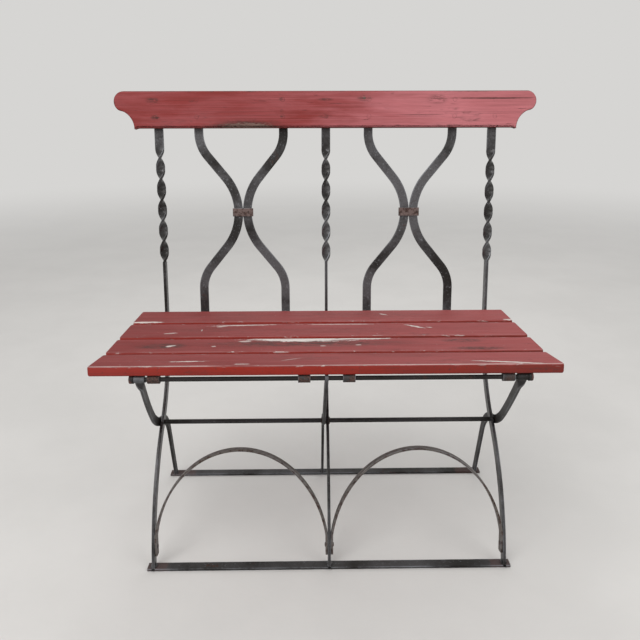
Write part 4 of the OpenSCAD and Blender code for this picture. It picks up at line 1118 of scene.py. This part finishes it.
# ---------------------------------------------------------------- stage
class MakeStage(bpy.types.Operator):
    """Makes the pale floor, the soft lights and the camera"""
    bl_idname = "bench.stage"
    bl_label = "Floor, lights and camera"

    def execute(self, context):
        """The floor is a wide disc that fades into the background's colour with distance."""
        self.scene = context.scene
        self.floor(self.scene.bench_colours)
        self.background(self.scene.bench_colours)
        for name, place, turn, width, power in (
                ("Key", (-1.3, -1.7, 2.7), (38, 0, -36), 2.2, 55),
                ("Fill", (1.9, -1.5, 1.9), (55, 0, 50), 2.0, 20),
                ("Rim", (0.3, 1.9, 2.4), (-50, 0, 10), 2.0, 20)):
            lamp = bpy.data.lights.new(name, "AREA")
            lamp.energy, lamp.size = power, width
            holder = self.put(name, lamp)
            holder.location, holder.rotation_euler = place, np.radians(turn)
        self.camera()
        self.scene.view_settings.view_transform = "Standard"
        return {"FINISHED"}

    def put(self, name, data):
        """A new object of the scene."""
        thing = bpy.data.objects.new(name, data)
        self.scene.collection.objects.link(thing)
        return thing

    def floor(self, c):
        """Makes the disc: rings of radius r (cos k, sin k)."""
        r, k = np.array([0.4, 1.0, 2.0, 4.0, 9.0, 20.0, 40.0]), np.arange(48) * np.pi / 24
        points = np.stack([np.outer(r, np.cos(k)), np.outer(r, np.sin(k)), np.full((7, 48), -0.2 * MM)], -1)
        mesh = bpy.data.meshes.new("Floor")
        faces = [list(range(48))] + [q[::-1] for q in quads(7, 48)]
        mesh.from_pydata(points.reshape(-1, 3).tolist(), [], faces)
        if mesh.polygons[0].normal.z < 0:
            mesh.flip_normals()
        f = Finish("Floor")
        base = f.coats(c.floor, (f.rise(f.noise(3.0, 4, 0.6), 0.3, 0.7, 0.5), tuple(0.9 * q for q in c.floor)))
        f.finish(base, 0.85, 0.0, 0.5, [(f.noise(90, 3), 0.3 * MM)])
        far, glow = f.rise(f.length(f.at), 1.6, 6.0), f.node("ShaderNodeEmission", {"Color": c.backdrop})
        blend = f.node("ShaderNodeMixShader", {0: far, 1: f.shader.outputs[0], 2: glow.outputs[0]})
        f.set(f.end.inputs[0], blend.outputs[0])
        mesh.materials.append(f.material)
        self.put("Floor", mesh)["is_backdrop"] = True

    def background(self, c):
        """Sets the world: soft light for the bench, the pale background for what looks straight at it."""
        world = bpy.data.worlds.new("Pale_room")
        self.scene.world = world
        world.use_nodes = True
        f = Nodes(world.node_tree)
        seen = f.node("ShaderNodeBackground", {"Color": c.backdrop})
        soft = f.node("ShaderNodeBackground", {"Color": (1, 1, 1), "Strength": 0.62})
        rays = f.node("ShaderNodeLightPath").outputs
        share = f.most(rays["Is Camera Ray"], rays["Is Glossy Ray"], rays["Is Transmission Ray"])
        blend = f.node("ShaderNodeMixShader", {0: share, 1: soft.outputs[0], 2: seen.outputs[0]})
        f.node("ShaderNodeOutputWorld", {0: blend.outputs[0]})

    def camera(self):
        """Places the camera by its heading, tilt and roll."""
        heading, tilt, roll = np.radians([0.775, 19.217, 0.122])
        focal, width = 658.66, 640  # pixels of the picture
        lens = bpy.data.cameras.new("Camera")
        lens.sensor_width, lens.lens = 36.0, focal / width * 36
        self.scene.camera = self.put("Camera", lens)
        self.scene.camera.matrix_world = (
            Matrix.Translation((-31.66 * MM, -1187.99 * MM, 879.84 * MM)) @ Matrix.Rotation(-heading, 4, "Z")
            @ Matrix.Rotation(np.pi / 2 - tilt, 4, "X") @ Matrix.Rotation(-roll, 4, "Z"))


class BenchPanel(bpy.types.Panel):
    """Lists the pieces of the bench, its stage and its settings"""
    bl_idname = "VIEW3D_PT_bench"
    bl_label = "Garden bench"
    bl_space_type = "VIEW_3D"
    bl_region_type = "UI"
    bl_category = "Bench"

    def draw(self, context):
        """Draws a button for each operator and a row for each setting."""
        for maker in MAKERS:
            self.layout.operator(maker.bl_idname)
        for group, kind in GROUPS:
            box = self.layout.box()
            for key in kind.__annotations__:
                box.prop(getattr(context.scene, group), key)


MAKERS = (MakeStage, MakeTopSlat, MakeSeatSlats, MakeUprights, MakeScrolls, MakeRods, MakeRails, MakeArches,
          MakeLegs, MakeBattens, MakeScrews)
GROUPS = (("bench_seat", BenchSeatSizes), ("bench_frame", BenchFrameSizes), ("bench_colours", BenchColours))


def register():
    """Adds the classes, and the settings to the scene."""
    for name, group in GROUPS:
        bpy.utils.register_class(group)
        setattr(bpy.types.Scene, name, bpy.props.PointerProperty(type=group))
    for kind in (*MAKERS, BenchPanel):
        bpy.utils.register_class(kind)


def unregister():
    """Removes the classes and the settings."""
    for kind in (BenchPanel, *reversed(MAKERS)):
        bpy.utils.unregister_class(kind)
    for name, group in reversed(GROUPS):
        delattr(bpy.types.Scene, name)
        bpy.utils.unregister_class(group)


def main():
    """Makes every piece and the stage, and works out the boxes of the solid model and of the looks."""
    register()
    for maker in MAKERS:
        group, name = maker.bl_idname.split(".")
        getattr(getattr(bpy.ops, group), name)()
    as_lists = lambda box: [[float(q) for q in corner] for corner in box]
    {"cad": as_lists(CAD_BOX), "visual": as_lists(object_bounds())}


if __name__ == "__main__":
    main()
